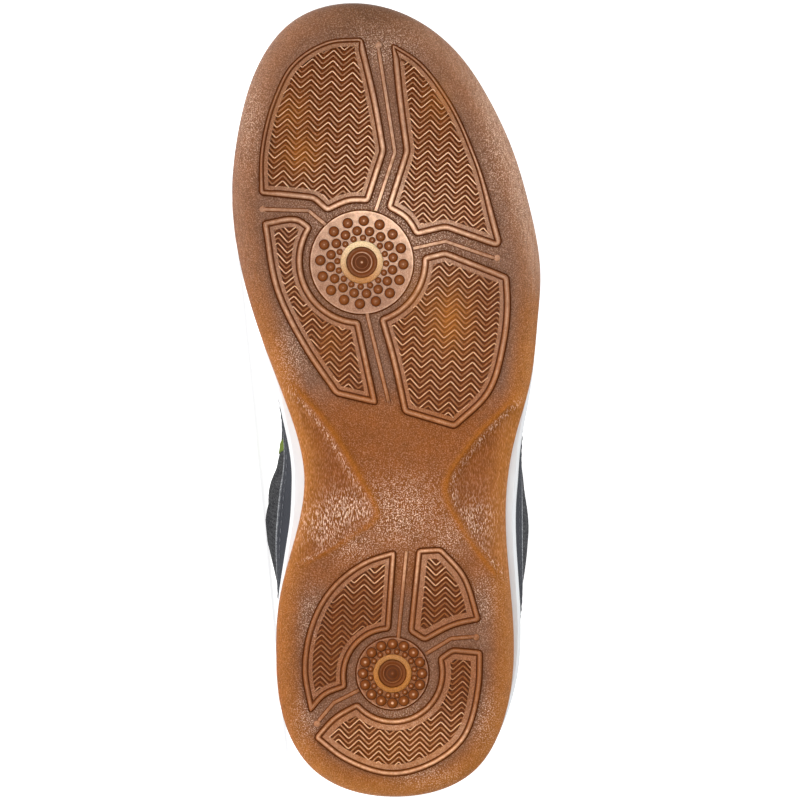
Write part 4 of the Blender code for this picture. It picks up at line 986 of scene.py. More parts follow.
def gum_material():
    """Gum rubber: its colour, grain and gloss, half clear near its surface."""
    material, tree, shader = new_material("gum")
    group = add_node(tree, "ShaderNodeGroup", node_tree=gum_group())
    feed(tree, shader, {
        "Base Color": group.outputs["Color"],
        "Roughness": group.outputs["Roughness"],
        "Coat Weight": group.outputs["Gloss"],
        "Normal": bumped(tree, group.outputs["Height"], 0.8, GRAIN_DEPTH),
        "Coat Roughness": 0.25,
        "Specular IOR Level": 0.08,
        "Subsurface Weight": 0.1,
        "Subsurface Radius": (0.0025, 0.001, 0.0003),
        "Subsurface Scale": 1.0,
    })
    return material


GUM = gum_material()
TREAD_LOOPS, RIB_ZONES = tread_loops()
outsole = outsole_mesh(TREAD_LOOPS)
gum_values(outsole)
lay_piece("gum_outsole", outsole, GUM, ("outsole",))

# Herringbone ribs
# Thin ribs of the same gum, moulded in one with the outsole, that zigzag across each panel from shelf
# to shelf. Every second rib is a little lower and rounder, so the panels shimmer in pairs of lines. Each
# crest carries a painted highlight, far brighter on the tall ribs, and each foot painted shade.

RIB_PITCH, RIB_WAVE, RIB_SWING, RIB_CORNER = 1.86, 7.3, 3.15, 0.975
FOREFOOT_SLANT, HEEL_SLANT = 4.5, 2.0
SHORTEST_RIB = 1.5
RIB_PROBE = 0.1
# Widths at the crest and the foot, and height, of the two kinds of rib
TALL_RIB = {"Crest": 0.22, "Foot": 0.9, "Height": 1.0}
LOW_RIB = {"Crest": 0.45, "Foot": 0.85, "Height": 0.82}
# Points of a rib in half a wave, from one corner to the next, as shares of the half wave
RIB_POINTS = (0.0, 0.09, 0.25, 0.75, 0.91)
# How far below none the painted highlight is at a foot, so that only the crest carries it
FOOT_HIGHLIGHT_DROP = 3.5
# Where a crest starts and how soon it is whole, as shares of the height, and the grain of fine moulding
CREST_START, CREST_FADE, MOULDED_GRAIN = 0.5, 0.4, 0.12
RIB_WARMER, RIB_SINK, RIB_END_CLEAR = 0.4, 0.05, 0.2
# Kinds of rib: piece, shape, which rows and painted highlight on the crest
RIB_KINDS = (("tall_ribs", TALL_RIB, 0, 3.3), ("low_ribs", LOW_RIB, 1, 0.7))


def zigzag(across, row):
    """Place along the shoe of a rib at a place across it."""
    wave = np.arcsin(RIB_CORNER * np.sin(2 * math.pi * across / RIB_WAVE)) / math.asin(RIB_CORNER)
    return row * RIB_PITCH + RIB_SWING / 2 * wave


def rib_paths(zone, slant):
    """Paths of the ribs inside a panel's zone, in pairs of row number and points on the plan."""
    angle = math.radians(slant)
    along = np.array((math.cos(angle), math.sin(angle)))
    across = np.array((-math.sin(angle), math.cos(angle)))
    u_range = zone @ across
    v_range = zone @ along
    probe = np.arange(u_range.min() - RIB_PROBE, u_range.max() + 2 * RIB_PROBE, RIB_PROBE)
    half = RIB_WAVE / 2
    turns = np.arange(math.floor(probe[0] / half) - 1, math.ceil(probe[-1] / half) + 1)
    marks = np.sort(((turns[:, None] + np.array(RIB_POINTS)) * half - half / 2).ravel())
    paths = []
    first_row = math.floor((v_range.min() - RIB_SWING) / RIB_PITCH)
    last_row = math.ceil((v_range.max() + RIB_SWING) / RIB_PITCH)
    for row in range(first_row, last_row):
        places = probe[:, None] * across + zigzag(probe, row)[:, None] * along
        held = inside_loop(places, zone).astype(int)
        starts = np.nonzero(np.diff(held) == 1)[0] + 1
        ends = np.nonzero(np.diff(held) == -1)[0]
        for first, last in zip(starts, ends):
            if probe[last] - probe[first] < SHORTEST_RIB:
                continue
            between = marks[(marks > probe[first] + RIB_END_CLEAR) & (marks < probe[last] - RIB_END_CLEAR)]
            u = np.concatenate(((probe[first],), between, (probe[last],)))
            paths.append((row, u[:, None] * across + zigzag(u, row)[:, None] * along))
    return paths


def path_mesh(name, paths):
    """Mesh of open paths of points joined by edges."""
    edges = []
    start = 0
    for path in paths:
        edges += [(start + i, start + i + 1) for i in range(len(path) - 1)]
        start += len(path)
    return plain_mesh(name, np.concatenate(paths), edges)


def new_tree(name, numbers):
    """Geometry node tree with named numbers and a material to give it, its input and its output."""
    tree = bpy.data.node_groups.new(name, "GeometryNodeTree")
    tree.is_modifier = True
    tree.interface.new_socket("Geometry", in_out="INPUT", socket_type="NodeSocketGeometry")
    for number in numbers:
        tree.interface.new_socket(number, in_out="INPUT", socket_type="NodeSocketFloat")
    tree.interface.new_socket("Material", in_out="INPUT", socket_type="NodeSocketMaterial")
    tree.interface.new_socket("Geometry", in_out="OUTPUT", socket_type="NodeSocketGeometry")
    return tree, tree.nodes.new("NodeGroupInput"), tree.nodes.new("NodeGroupOutput")


def finish_tree(tree, made, given, result):
    """End of a node tree: instances made real and the material set."""
    real = add_node(tree, "GeometryNodeRealizeInstances", values={"Geometry": made})
    dressed = add_node(tree, "GeometryNodeSetMaterial",
                       values={"Geometry": real.outputs[0], "Material": given.outputs["Material"]})
    tree.links.new(dressed.outputs[0], result.inputs["Geometry"])
    return tree


def rib_tree():
    """Nodes that sweep a rib with a flat crest, slanted sides and closed ends along paths."""
    tree, given, result = new_tree("moulded_rib", ("Crest", "Foot", "Height"))
    curve = add_node(tree, "GeometryNodeMeshToCurve", values={"Mesh": given.outputs["Geometry"]})
    upright = add_node(tree, "GeometryNodeSetCurveNormal", mode="Z_UP", values={"Curve": curve.outputs[0]})
    section = add_node(tree, "GeometryNodeCurvePrimitiveQuadrilateral", mode="TRAPEZOID",
                       values={"Bottom Width": given.outputs["Foot"], "Top Width": given.outputs["Crest"],
                               "Height": given.outputs["Height"], "Offset": 0.0})
    swept = add_node(tree, "GeometryNodeCurveToMesh",
                     values={"Curve": upright.outputs[0], "Profile Curve": section.outputs[0],
                             "Fill Caps": True})
    return finish_tree(tree, swept.outputs[0], given, result)


def grown(base, tree, **inputs):
    """Plain mesh of what a node tree makes from a base mesh, facing outwards."""
    carrier = bpy.data.objects.new(base.name, base)
    bpy.context.scene.collection.objects.link(carrier)
    modifier = carrier.modifiers.new(tree.name, "NODES")
    modifier.node_group = tree
    for item in tree.interface.items_tree:
        if item.in_out == "INPUT" and item.name in inputs:
            modifier[item.identifier] = inputs[item.name]
    graph = bpy.context.evaluated_depsgraph_get()
    mesh = bpy.data.meshes.new_from_object(carrier.evaluated_get(graph))
    carrier.modifiers.remove(modifier)
    bpy.data.objects.remove(carrier)
    return faced_out(mesh)


def shade_by_height(mesh, foot_level, height, pale, dark):
    """Store a painted highlight on the crest and painted shade at the foot of what stands up to a height from
    a level of the tread.
    """
    x, y, z = mesh_points(mesh).T
    crest = smooth_step(((ground(x) + foot_level - z) / height - CREST_START) / CREST_FADE)
    add_values(mesh, "pale", pale * crest - FOOT_HIGHLIGHT_DROP * (1 - crest))
    add_values(mesh, "dark", dark * (1 - crest))
    add_values(mesh, "grain", np.full(len(x), MOULDED_GRAIN))


RIB_TREE = rib_tree()
rib_rows = []
for panel_name, zone in RIB_ZONES.items():
    rib_rows += rib_paths(zone, HEEL_SLANT if panel_name.startswith("heel") else FOREFOOT_SLANT)
for name, shape, parity, pale in RIB_KINDS:
    paths = []
    for row, flat in rib_rows:
        if row % 2 == parity:
            level = ground(flat[:, 0]) + RIB_FLOOR + RIB_SINK - shape["Height"] / 2
            paths.append(np.column_stack((flat, level)))
    ribs = grown(path_mesh(name, paths), RIB_TREE, Material=GUM, **shape)
    gum_values(ribs, RIB_WARMER)
    shade_by_height(ribs, RIB_FLOOR, shape["Height"], pale, 1.0)
    lay_piece(name, ribs, GUM, sharp=180.0)

# Trace lines
# Low moulded lines along the middle of the channels between the panels, most of them ending in a round
# dot near the border, in one with the gum.

TRACES = (
    ((269.0, -5.0), (231.5, 0.9), (210.5, -6.0)),
    ((210.5, -30.0), (205.5, -24.0)),
    ((211.0, -46.0), (210.5, -30.0)),
    ((193.5, 36.5), (199.5, 19.0), (197.0, 7.5)),
    ((174.0, -9.2), (142.0, -1.4)),
    ((56.0, 2.0), (88.5, 5.0)),
    ((51.5, 12.0), (57.0, 21.0), (57.7, 29.3)),
    ((38.5, -12.0), (34.0, -21.0), (27.5, -26.5)),
)
TRACE_DOTS = ((270.0, -5.0), (211.0, -46.5), (193.5, 37.5), (57.5, 30.0), (26.5, -27.0))
TRACE_SHAPE = {"Crest": 0.9, "Foot": 2.1, "Height": 1.0}
TRACE_PROUD, TRACE_STEP = 0.62, 1.5
# Painted highlight on the crest of a trace and painted shade at its foot
TRACE_HIGHLIGHT, TRACE_SHADE = 1.0, 2.4

trace_paths = []
for trace in TRACES:
    runs = [curve_through(ends, TRACE_STEP) for ends in zip(trace[:-1], trace[1:])]
    flat = np.concatenate((*runs, [trace[-1]]))
    level = ground(flat[:, 0]) + BASE_LEVEL - TRACE_PROUD + TRACE_SHAPE["Height"] / 2
    trace_paths.append(np.column_stack((flat, level)))
traces = grown(path_mesh("traces", trace_paths), RIB_TREE, Material=GUM, **TRACE_SHAPE)
gum_values(traces)
shade_by_height(traces, BASE_LEVEL, TRACE_PROUD, TRACE_HIGHLIGHT, TRACE_SHADE)
lay_piece("trace_lines", traces, GUM, sharp=180.0)

# Pivot discs
# Two round plates to turn on, under the ball and the heel: rings of small domes on a grained plate, a
# pale golden ring standing round a dished button with a thin ring and a nipple on it. The ring is
# painted lighter towards the toe, the tops carry painted highlights, and painted shade darkens the
# feet of the domes and the button's dish.

# Rings of domes: disc, how many, ring's radius, dome's radius, height, painted highlight on the top, first
# angle in steps
DOMES = (
    (BALL_DISC, 16, 14.9, 1.95, 0.75, 0.9, 0.12),
    (BALL_DISC, 16, 11.35, 1.8, 0.7, 0.9, 0.62),
    (BALL_DISC, 16, 8.75, 1.2, 0.5, 0.9, 0.12),
    (HEEL_DISC, 16, 10.6, 2.0, 0.7, 6.0, 0.0),
    (HEEL_DISC, 16, 8.0, 1.15, 0.45, 5.0, 0.5),
)
# Painted shade of a dome from its foot to its top, as shares of its height
DOME_RISE, DOME_SHADE = (0.0, 0.31, 0.59, 0.81, 0.95, 1.0), (2.0, 1.9, 1.35, 0.78, 0.6, 0.3)
# Where a dome's painted top highlight starts and a dot's painted foot shade ends, and their fades, as shares
# of the height
DOME_TOP, DOME_TOP_FADE, DOT_FOOT, DOT_FADE = 0.96, 0.04, 0.5, 0.3
# Dots at the ends of the trace lines: radius, height and painted highlight on the top
DOT_SIZE = (1.3, 0.6, 1.1)
# Turned sections from the outside in: radius, level, painted highlight and painted shade
BALL_RING = ((7.8, 1.5, 0.0, 2.0), (7.75, 0.5, 0.0, 1.4), (7.6, 0.2, 0.0, 0.2), (7.25, 0.05, 0.4, 0.0),
             (5.9, 0.05, 0.4, 0.0), (5.65, 0.2, 0.0, 0.2), (5.5, 0.75, 0.0, 1.4), (5.45, 1.6, 0.0, 2.0))
BALL_BUTTON = ((5.9, 1.9, 0.0, 2.0), (5.6, 1.2, 0.0, 1.6), (5.2, 1.05, 0.0, 0.5), (4.5, 1.1, 0.0, 0.8),
               (4.0, 1.15, 0.0, 1.5), (3.8, 0.9, 0.5, 0.8), (3.5, 0.85, 0.8, 0.4), (3.25, 1.2, 0.0, 1.5),
               (2.6, 1.25, 0.0, 1.7), (2.25, 1.1, 0.5, 1.2), (2.0, 1.05, 0.0, 1.6), (1.4, 0.85, 0.0, 1.7),
               (0.6, 0.7, 0.0, 1.5), (0.25, 0.65, 0.9, 0.9))
HEEL_RING = ((7.0, 1.5, 0.0, 2.0), (6.95, 0.5, 0.0, 1.4), (6.8, 0.2, 0.0, 0.2), (6.5, 0.05, 0.4, 0.0),
             (5.4, 0.05, 0.4, 0.0), (5.15, 0.2, 0.0, 0.2), (5.0, 0.75, 0.0, 1.4), (4.95, 1.6, 0.0, 2.0))
HEEL_BUTTON_SHARE = 0.9
# Painted light on a ring: its share in the middle, and how much it gains towards the toe
RING_LIGHTING = {"ball_ring": (0.5, 0.45), "heel_ring": (0.02, 0.06)}
RING_GOLD, TURNED_GRAIN, TURNED_SIDES = 0.9, 0.1, 72


def stored(tree, name, kind):
    """Output of a value stored on the points that a node tree is given."""
    values = {"Name": name}
    return add_node(tree, "GeometryNodeInputNamedAttribute", data_type=kind, values=values).outputs[0]


def dome_tree():
    """Nodes that stand a flattened dome of its own size and height on every point."""
    tree, given, result = new_tree("moulded_dome", ())
    ball = add_node(tree, "GeometryNodeMeshUVSphere", values={"Segments": 20, "Rings": 10, "Radius": 1.0})
    wide = stored(tree, "wide", "FLOAT")
    high = stored(tree, "high", "FLOAT")
    size = add_node(tree, "ShaderNodeCombineXYZ", values={0: wide, 1: wide, 2: high})
    stood = add_node(tree, "GeometryNodeInstanceOnPoints",
                     values={"Points": given.outputs["Geometry"], "Instance": ball.outputs[0],
                             "Scale": size.outputs[0]})
    return finish_tree(tree, stood.outputs[0], given, result)


def closing_faces(rows, across):
    """Quads from the last of a grid's closed rows back to its first."""
    last = (rows - 1) * across
    return [(last + i, last + (i + 1) % across, (i + 1) % across, i) for i in range(across)]


def end_faces(rows, across, start=0):
    """Faces that close the first and the last of a grid's closed rows."""
    last = start + (rows - 1) * across
    return [tuple(range(start, start + across)), tuple(range(last, last + across))]


def turned(name, disc, section):
    """Closed mesh of a section turned about a disc's centre."""
    angles = np.arange(TURNED_SIDES) * 2 * math.pi / TURNED_SIDES
    round_way = np.column_stack((np.cos(angles), np.sin(angles)))
    rows = []
    for radius, level, _, _ in section:
        flat = np.array(disc[:2]) + radius * round_way
        rows.append(np.column_stack((flat, ground(flat[:, 0]) + level)))
    faces = wall_faces(len(rows), TURNED_SIDES)
    faces += (closing_faces if name in RING_LIGHTING else end_faces)(len(rows), TURNED_SIDES)
    pale, dark = np.repeat(np.array(section)[:, 2:], TURNED_SIDES, axis=0).T
    start, gain = RING_LIGHTING.get(name, (0.0, 0.0))
    tone = np.tile(start + gain * round_way[:, 0], len(rows))
    gold = np.full(len(tone), RING_GOLD if name in RING_LIGHTING else 0.0)
    return drawn_mesh(name, np.concatenate(rows), faces, pale=pale, dark=dark, tone=tone, gold=gold,
                      grain=np.full(len(tone), TURNED_GRAIN))


dome_places = []
dome_sizes = []
for disc, count, reach, wide, high, pale, first in DOMES:
    for k in range(count):
        angle = 2 * math.pi * (k + first) / count
        x, y = disc[0] + reach * math.cos(angle), disc[1] + reach * math.sin(angle)
        dome_places.append((x, y, ground(x) + PLATE_LEVEL))
        dome_sizes.append((wide, high, pale))
for x, y in TRACE_DOTS:
    dome_places.append((x, y, ground(x) + BASE_LEVEL))
    dome_sizes.append(DOT_SIZE)
dome_points = plain_mesh("domes", dome_places)
add_values(dome_points, "wide", np.array(dome_sizes)[:, 0])
add_values(dome_points, "high", np.array(dome_sizes)[:, 1])
domes = grown(dome_points, dome_tree(), Material=GUM)
gum_values(domes)
dome_z = mesh_points(domes)[:, 2]
per_dome = len(dome_z) // len(dome_places)
dome_foot = np.repeat(np.array(dome_places)[:, 2], per_dome)
_, dome_high, dome_pale = np.repeat(np.array(dome_sizes), per_dome, axis=0).T
dome_rise = np.clip((dome_foot - dome_z) / dome_high, 0, 1)
is_dot = np.repeat(np.arange(len(dome_places)) >= len(dome_places) - len(TRACE_DOTS), per_dome)
dome_dark = np.interp(dome_rise, DOME_RISE, DOME_SHADE)
dome_top_highlight = smooth_step((dome_rise - DOME_TOP) / DOME_TOP_FADE)
dot_foot_shade = smooth_step((DOT_FOOT - dome_rise) / DOT_FADE)
add_values(domes, "dark", dome_dark * np.where(is_dot, dot_foot_shade, 1.0))
add_values(domes, "pale", dome_pale * np.where(is_dot, 1.0, dome_top_highlight))
add_values(domes, "grain", np.full(len(dome_z), MOULDED_GRAIN))
lay_piece("pivot_domes", domes, GUM, sharp=180.0)

HEEL_BUTTON = tuple((radius * HEEL_BUTTON_SHARE, *rest) for radius, *rest in BALL_BUTTON)
for name, disc, section in (("ball_ring", BALL_DISC, BALL_RING), ("ball_button", BALL_DISC, BALL_BUTTON),
                            ("heel_ring", HEEL_DISC, HEEL_RING), ("heel_button", HEEL_DISC, HEEL_BUTTON)):
    mesh = turned(name, disc, section)
    gum_values(mesh)
    lay_piece(name, mesh, GUM, sharp=60.0)

# Midsole
# White moulded foam glued into the gum wall. It stands out past the gum at the waist and the heel, its
# side bellies out with a moulded groove under the rim, and its top is cupped for the upper.

GAP, LIP_LEAN, RIM_DROP, BELLY_SHARE, UPPER_WALL, FOOT_TUCK = 0.3, 1.2, 0.4, 0.45, 2.4, 1.5
# Height of the bed along the shoe
FOOTBED = ((0.0, 24.0), (40.0, 22.5), (90.0, 20.0), (150.0, 15.0), (190.0, 13.0), (215.0, 13.2),
           (250.0, 16.5), (285.7, 23.0))
MIDSOLE_LINES = 22
GROOVE_SHARE, GROOVE_SPREAD, GROOVE_DEPTH = 0.78, 0.05, 0.45
# Rounding of the rim: how far in, and its start and run as shares of the side
FOAM_ROUNDING, FOAM_ROUND_START, FOAM_ROUND_RUN = 0.6, 0.93, 0.07
SEAT_DROP, SIDE_START, SEAT_CLEARANCE = 1.0, 0.05, 0.2
WHITE_FOAM, HANDLED_FOAM = (0.765, 0.78, 0.80), (0.70, 0.69, 0.67)


def footbed_ring(inset):
    """Foot of the upper's outer wall on the bed, moved in by an inset."""
    loop = ring(side("seat") + FOOT_TUCK + inset, 0.0)
    loop[:, 2] = along_shoe(FOOTBED, loop[:, 0]) + GAP
    return loop


def stacked(name, rings):
    """Closed mesh through a stack of loops, capped at both ends."""
    faces = wall_faces(len(rings), AROUND)
    faces += ladder_faces(0, AROUND) + ladder_faces((len(rings) - 1) * AROUND, AROUND)
    return drawn_mesh(name, np.concatenate(rings), faces)


def midsole_mesh():
    """Midsole from the gum's floor, round its belly and rim, to the bed inside."""
    gum_top = side("gum_top")
    bite = side("bite") - RIM_DROP
    lip = side("lip")
    rings = [outsole_floor(0.0), ring(GUM_WALL, gum_top - SEAT_DROP)]
    for share in np.linspace(0, 1, MIDSOLE_LINES):
        reach = (share - BELLY_SHARE) / (BELLY_SHARE if share < BELLY_SHARE else 1 - BELLY_SHARE)
        groove = GROOVE_DEPTH * math.exp(-((share - GROOVE_SHARE) / GROOVE_SPREAD) ** 2)
        rounding = FOAM_ROUNDING * smooth_step((share - FOAM_ROUND_START) / FOAM_ROUND_RUN)
        inset = -lip + LIP_LEAN * reach * reach + groove + rounding
        rings.append(ring(inset, gum_top + SIDE_START + (bite - gum_top) * share))
    rings.append(ring(side("seat") + SEAT_CLEARANCE, bite))
    bed = footbed_ring(0.0)
    bed[:, 2] -= GAP
    rings.append(bed)
    return stacked("midsole", rings)


def foam_material():
    """White foam with a fine moulded grain and a little grey where it is handled."""
    material, tree, shader = new_material("foam")
    place = attribute(tree, "drawn", "Vector")
    grain = noise(tree, place, 2.2, 2.0, 0.6)
    darkening = noise(tree, place, 0.06, 4.0, 0.6)
    colour = mixed(tree, spread(tree, darkening, 0.45, 0.8, 0.0, 0.35), WHITE_FOAM, HANDLED_FOAM)
    feed(tree, shader, {
        "Base Color": colour,
        "Normal": bumped(tree, grain, 0.25, GRAIN_DEPTH),
        "Roughness": 0.55,
        "Subsurface Weight": 0.1,
        "Subsurface Radius": (0.002, 0.002, 0.002),
    })
    return material


lay_piece("foam_midsole", midsole_mesh(), foam_material(), ("midsole",))

# Insole
# A loose foam insole with a dark textile face, cut to the bed and rounded at its edge. It lies inside
# the upper on the midsole.

INSOLE_THICK, INSOLE_EDGE, INSOLE_LINES = 3.5, 1.2, 9
# Dished top of the insole: inset and drop
INSOLE_DISH = ((6.0, 0.5), (12.0, 0.9))
INSOLE_GREY, INSOLE_FLECK = (0.03, 0.031, 0.035), (0.05, 0.052, 0.058)
# Depth of the relief of a thread, in metres
THREAD_DEPTH = 0.0004


def insole_mesh():
    """Insole with a rounded edge and a faintly dished top."""
    rings = []
    for angle in np.radians(np.linspace(-90, 90, INSOLE_LINES)):
        loop = footbed_ring(UPPER_WALL + GAP + INSOLE_EDGE * (1 - math.cos(angle)))
        loop[:, 2] += INSOLE_THICK / 2 * (1 + math.sin(angle))
        rings.append(loop)
    for inset, drop in INSOLE_DISH:
        loop = footbed_ring(UPPER_WALL + GAP + inset)
        loop[:, 2] += INSOLE_THICK - drop
        rings.append(loop)
    return stacked("insole", rings)


def cloth_material(name, colour, fleck, scale, strength):
    """Dull cloth of one colour flecked with another, with a fine relief of thread."""
    material, tree, shader = new_material(name)
    thread = noise(tree, attribute(tree, "drawn", "Vector"), scale, 3.0, 0.65)
    feed(tree, shader, {
        "Base Color": mixed(tree, spread(tree, thread, 0.42, 0.62), colour, fleck),
        "Normal": bumped(tree, thread, strength, THREAD_DEPTH),
        "Roughness": 0.9,
        "Specular IOR Level": 0.15,
    })
    return material


insole_cloth = cloth_material("insole_cloth", INSOLE_GREY, INSOLE_FLECK, 2.5, 0.4)
insole = lay_piece("cloth_insole", insole_mesh(), insole_cloth, ("insole",))

# Upper
# A charcoal melange knit over a thin lining, lasted and glued into the midsole's cup. Its collar is
# filled with foam round the heel, with a seam below the roll, and vamp and quarters have soft creases.

# Sections of the upper by station: top of the wall, pull of its curve at foot and top, edges of the
# overlays as shares of the wall, and foam in the collar
SECTION_COLUMNS = ("top_x", "top_y", "top_z", "out_low", "up_low", "out_high", "down_high",
                   "fox", "eye", "foam")
SECTIONS = {
    "toe_tip": (197.0, -4.0, 66.0, 2.0, 16.0, 46.0, 7.0, 0.30, 0.87, 0.0),
    "big_toe": (194.5, -11.0, 66.8, 3.0, 17.0, 38.0, 8.0, 0.25, 0.85, 0.0),
    "joint_inner": (190.0, -14.0, 68.5, 3.0, 18.0, 26.0, 9.0, 0.15, 0.82, 0.0),
    "ball_inner": (180.0, -15.5, 72.5, 3.0, 18.0, 20.0, 9.0, 0.09, 0.79, 0.0),
    "ball_back_inner": (167.0, -16.5, 78.0, 4.0, 19.0, 17.0, 9.0, 0.09, 0.79, 0.0),
    "arch_front_inner": (150.0, -17.5, 85.0, 8.0, 20.0, 16.0, 10.0, 0.11, 0.80, 0.0),
    "arch_inner": (134.0, -18.5, 91.5, 10.0, 24.0, 21.0, 14.0, 0.13, 0.82, 0.0),
    "waist_inner": (117.0, -21.5, 98.0, 15.0, 28.0, 28.0, 20.0, 0.165, 0.83, 1.0),
    "arch_back_inner": (98.0, -35.0, 90.0, 14.5, 25.0, 18.0, 22.0, 0.195, 0.80, 3.5),
    "heel_front_inner": (77.0, -38.5, 77.0, 5.5, 20.0, 5.0, 16.0, 0.27, 0.78, 4.5),
    "heel_inner": (54.0, -37.5, 71.0, 2.0, 18.0, 2.5, 14.0, 0.50, 0.76, 4.5),
    "heel_turn_inner": (30.0, -31.0, 74.5, 2.5, 18.0, 3.0, 14.0, 0.62, 0.78, 4.5),
    "heel_corner_inner": (16.0, -19.5, 80.0, 3.5, 18.0, 3.0, 15.0, 0.64, 0.80, 4.5),
    "heel_back": (9.5, 1.0, 84.5, 4.0, 18.0, 3.0, 16.0, 0.64, 0.82, 4.5),
    "heel_corner_outer": (16.0, 21.5, 80.0, 3.5, 18.0, 3.0, 15.0, 0.64, 0.80, 4.5),
    "heel_turn_outer": (30.0, 33.0, 73.5, 3.0, 18.0, 3.0, 14.0, 0.62, 0.78, 4.5),
    "heel_outer": (54.0, 40.0, 70.0, 3.0, 18.0, 3.0, 14.0, 0.50, 0.76, 4.5),
    "heel_front_outer": (78.0, 41.5, 75.0, 9.0, 20.0, 8.0, 16.0, 0.25, 0.78, 4.5),
    "waist_outer": (99.0, 36.0, 90.0, 12.0, 24.0, 17.0, 22.0, 0.19, 0.80, 3.5),
    "arch_outer": (119.0, 20.5, 98.0, 9.0, 26.0, 24.0, 18.0, 0.155, 0.83, 1.0),
    "arch_front_outer": (140.0, 15.0, 89.5, 6.0, 20.0, 17.0, 10.0, 0.12, 0.80, 0.0),
    "ball_back_outer": (158.0, 12.0, 82.0, 4.0, 19.0, 20.0, 10.0, 0.09, 0.79, 0.0),
    "ball_outer": (171.0, 10.0, 76.5, 3.0, 18.0, 21.0, 9.0, 0.09, 0.79, 0.0),
    "joint_outer": (184.0, 7.0, 71.0, 3.0, 18.0, 24.0, 9.0, 0.12, 0.81, 0.0),
    "little_toe": (191.0, 3.5, 68.0, 3.0, 17.0, 29.0, 9.0, 0.19, 0.83, 0.0),
    "toe_turn_outer": (196.5, -0.5, 66.3, 3.0, 17.0, 40.0, 8.0, 0.27, 0.86, 0.0),
}
FOAM_START, FOAM_FADE = 0.5, 0.35
LOW_LANE, MIDDLE_LANE, TOP_LANE = 14, 20, 10
# Creases of the upper: which view they are drawn on, points in it, half width and depth
CREASES = (
    ("plan", ((222.0, -40.0), (217.0, -20.0), (216.0, 0.0), (207.0, 26.0)), 4.5, 0.9),
    ("plan", ((209.0, -44.0), (205.5, -30.0), (205.0, -24.0)), 4.0, 0.8),
    ("inner", ((112.0, 58.0), (100.0, 66.0), (92.0, 78.0)), 5.0, 1.0),
    ("outer", ((112.0, 58.0), (101.0, 66.0), (94.0, 78.0)), 5.0, 1.0),
)
# Where a crease seen from above starts up the wall, and the ridge beside each: height, place, half width
CREASE_START, CREASE_FADE = 0.35, 0.2
CREASE_RIDGE, CREASE_RIDGE_PLACE, CREASE_RIDGE_HALF = 0.35, 1.7, 0.7
COLLAR_SEAM, COLLAR_SEAM_SPREAD, COLLAR_SEAM_DEPTH, FULL_FOAM = 0.70, 0.022, 0.7, 4.5
KNIT_SCALE, KNIT_DEPTH, HOLE_BLACK = (0.62, 0.75, 1.0), 0.0005, (0.012, 0.012, 0.014)
CHARCOAL, CHARCOAL_FLECK, LINING = (0.022, 0.0225, 0.026), (0.145, 0.145, 0.15), (0.02, 0.02, 0.023)


def upper_at(name):
    """A column of the table of sections, at every station."""
    knots = [KNOTS[station] for station in SECTIONS]
    values = np.array([[row[SECTION_COLUMNS.index(name)]] for row in SECTIONS.values()])
    return closed_spline(knots, values, PERIOD, STATION)[:, 0]


def wall_shares():
    """Shares of the wall's height at every station, with the overlays' edges on lines of the grid."""
    fox = upper_at("fox")[:, None]
    eye = upper_at("eye")[:, None]
    low = fox * np.linspace(0, 1, LOW_LANE + 1)
    middle = fox + (eye - fox) * np.linspace(0, 1, MIDDLE_LANE + 1)[1:]
    top = eye + (1 - eye) * np.linspace(0, 1, TOP_LANE + 1)[1:]
    return np.concatenate((low, middle, top), axis=1)


def wall_normals(face):
    """Outward direction at every point of the upper's wall."""
    around = np.roll(face, -1, 0) - np.roll(face, 1, 0)
    normal = np.cross(np.gradient(face, axis=1), around)
    return normal / np.linalg.norm(normal, axis=2)[:, :, None]


def distance_to_path(points, path):
    """Shortest distance from each point to an open path."""
    best = np.full(points.shape[:-1], np.inf)
    for start, end in zip(path[:-1], path[1:]):
        run = np.array(end) - np.array(start)
        t = np.clip((points - start) @ run / (run @ run), 0, 1)
        best = np.minimum(best, np.linalg.norm(points - (np.array(start) + t[..., None] * run), axis=-1))
    return best


def crease_depth(face, share):
    """How far the wall sinks in at its creases and at the collar's seam."""
    depth = np.zeros(face.shape[:2])
    for view, path, spread_of, deep in CREASES:
        flat = face[:, :, :2] if view == "plan" else face[:, :, ::2]
        if view == "plan":
            there = smooth_step((share - CREASE_START) / CREASE_FADE)
        else:
            there = (INNER_HALF if view == "inner" else ~INNER_HALF)[:, None]
        away = distance_to_path(flat, path) / spread_of
        beside = CREASE_RIDGE * np.exp(-((away - CREASE_RIDGE_PLACE) / CREASE_RIDGE_HALF) ** 2)
        depth += deep * there * (np.exp(-away ** 2) - beside)
    foam = np.clip(upper_at("foam"), 0, None)[:, None] / FULL_FOAM
    return depth + foam * COLLAR_SEAM_DEPTH * np.exp(-((share - COLLAR_SEAM) / COLLAR_SEAM_SPREAD) ** 2)


def upper_wall():
    """Outer face of the upper above the bite line, its outward directions and its thickness."""
    bite = ring(side("seat"), side("bite"))
    top = np.column_stack((upper_at("top_x"), upper_at("top_y"), upper_at("top_z")))
    outward = np.column_stack((OUTWARD, np.zeros(AROUND)))
    up = np.array((0.0, 0.0, 1.0))
    low = bite + outward * upper_at("out_low")[:, None] + up * upper_at("up_low")[:, None]
    high = top + outward * upper_at("out_high")[:, None] - up * upper_at("down_high")[:, None]
    share = wall_shares()
    v = share[:, :, None]
    corners = [p[:, None, :] for p in (bite, low, high, top)]
    weights = ((1 - v) ** 3, 3 * v * (1 - v) ** 2, 3 * v * v * (1 - v), v ** 3)
    face = sum(p * w for p, w in zip(corners, weights))
    face = face - wall_normals(face) * crease_depth(face, share)[:, :, None]
    padding = np.clip(upper_at("foam"), 0, None)[:, None] * smooth_step((share - FOAM_START) / FOAM_FADE)
    return face, wall_normals(face), UPPER_WALL + padding


FACE, NORMAL, THICK = upper_wall()


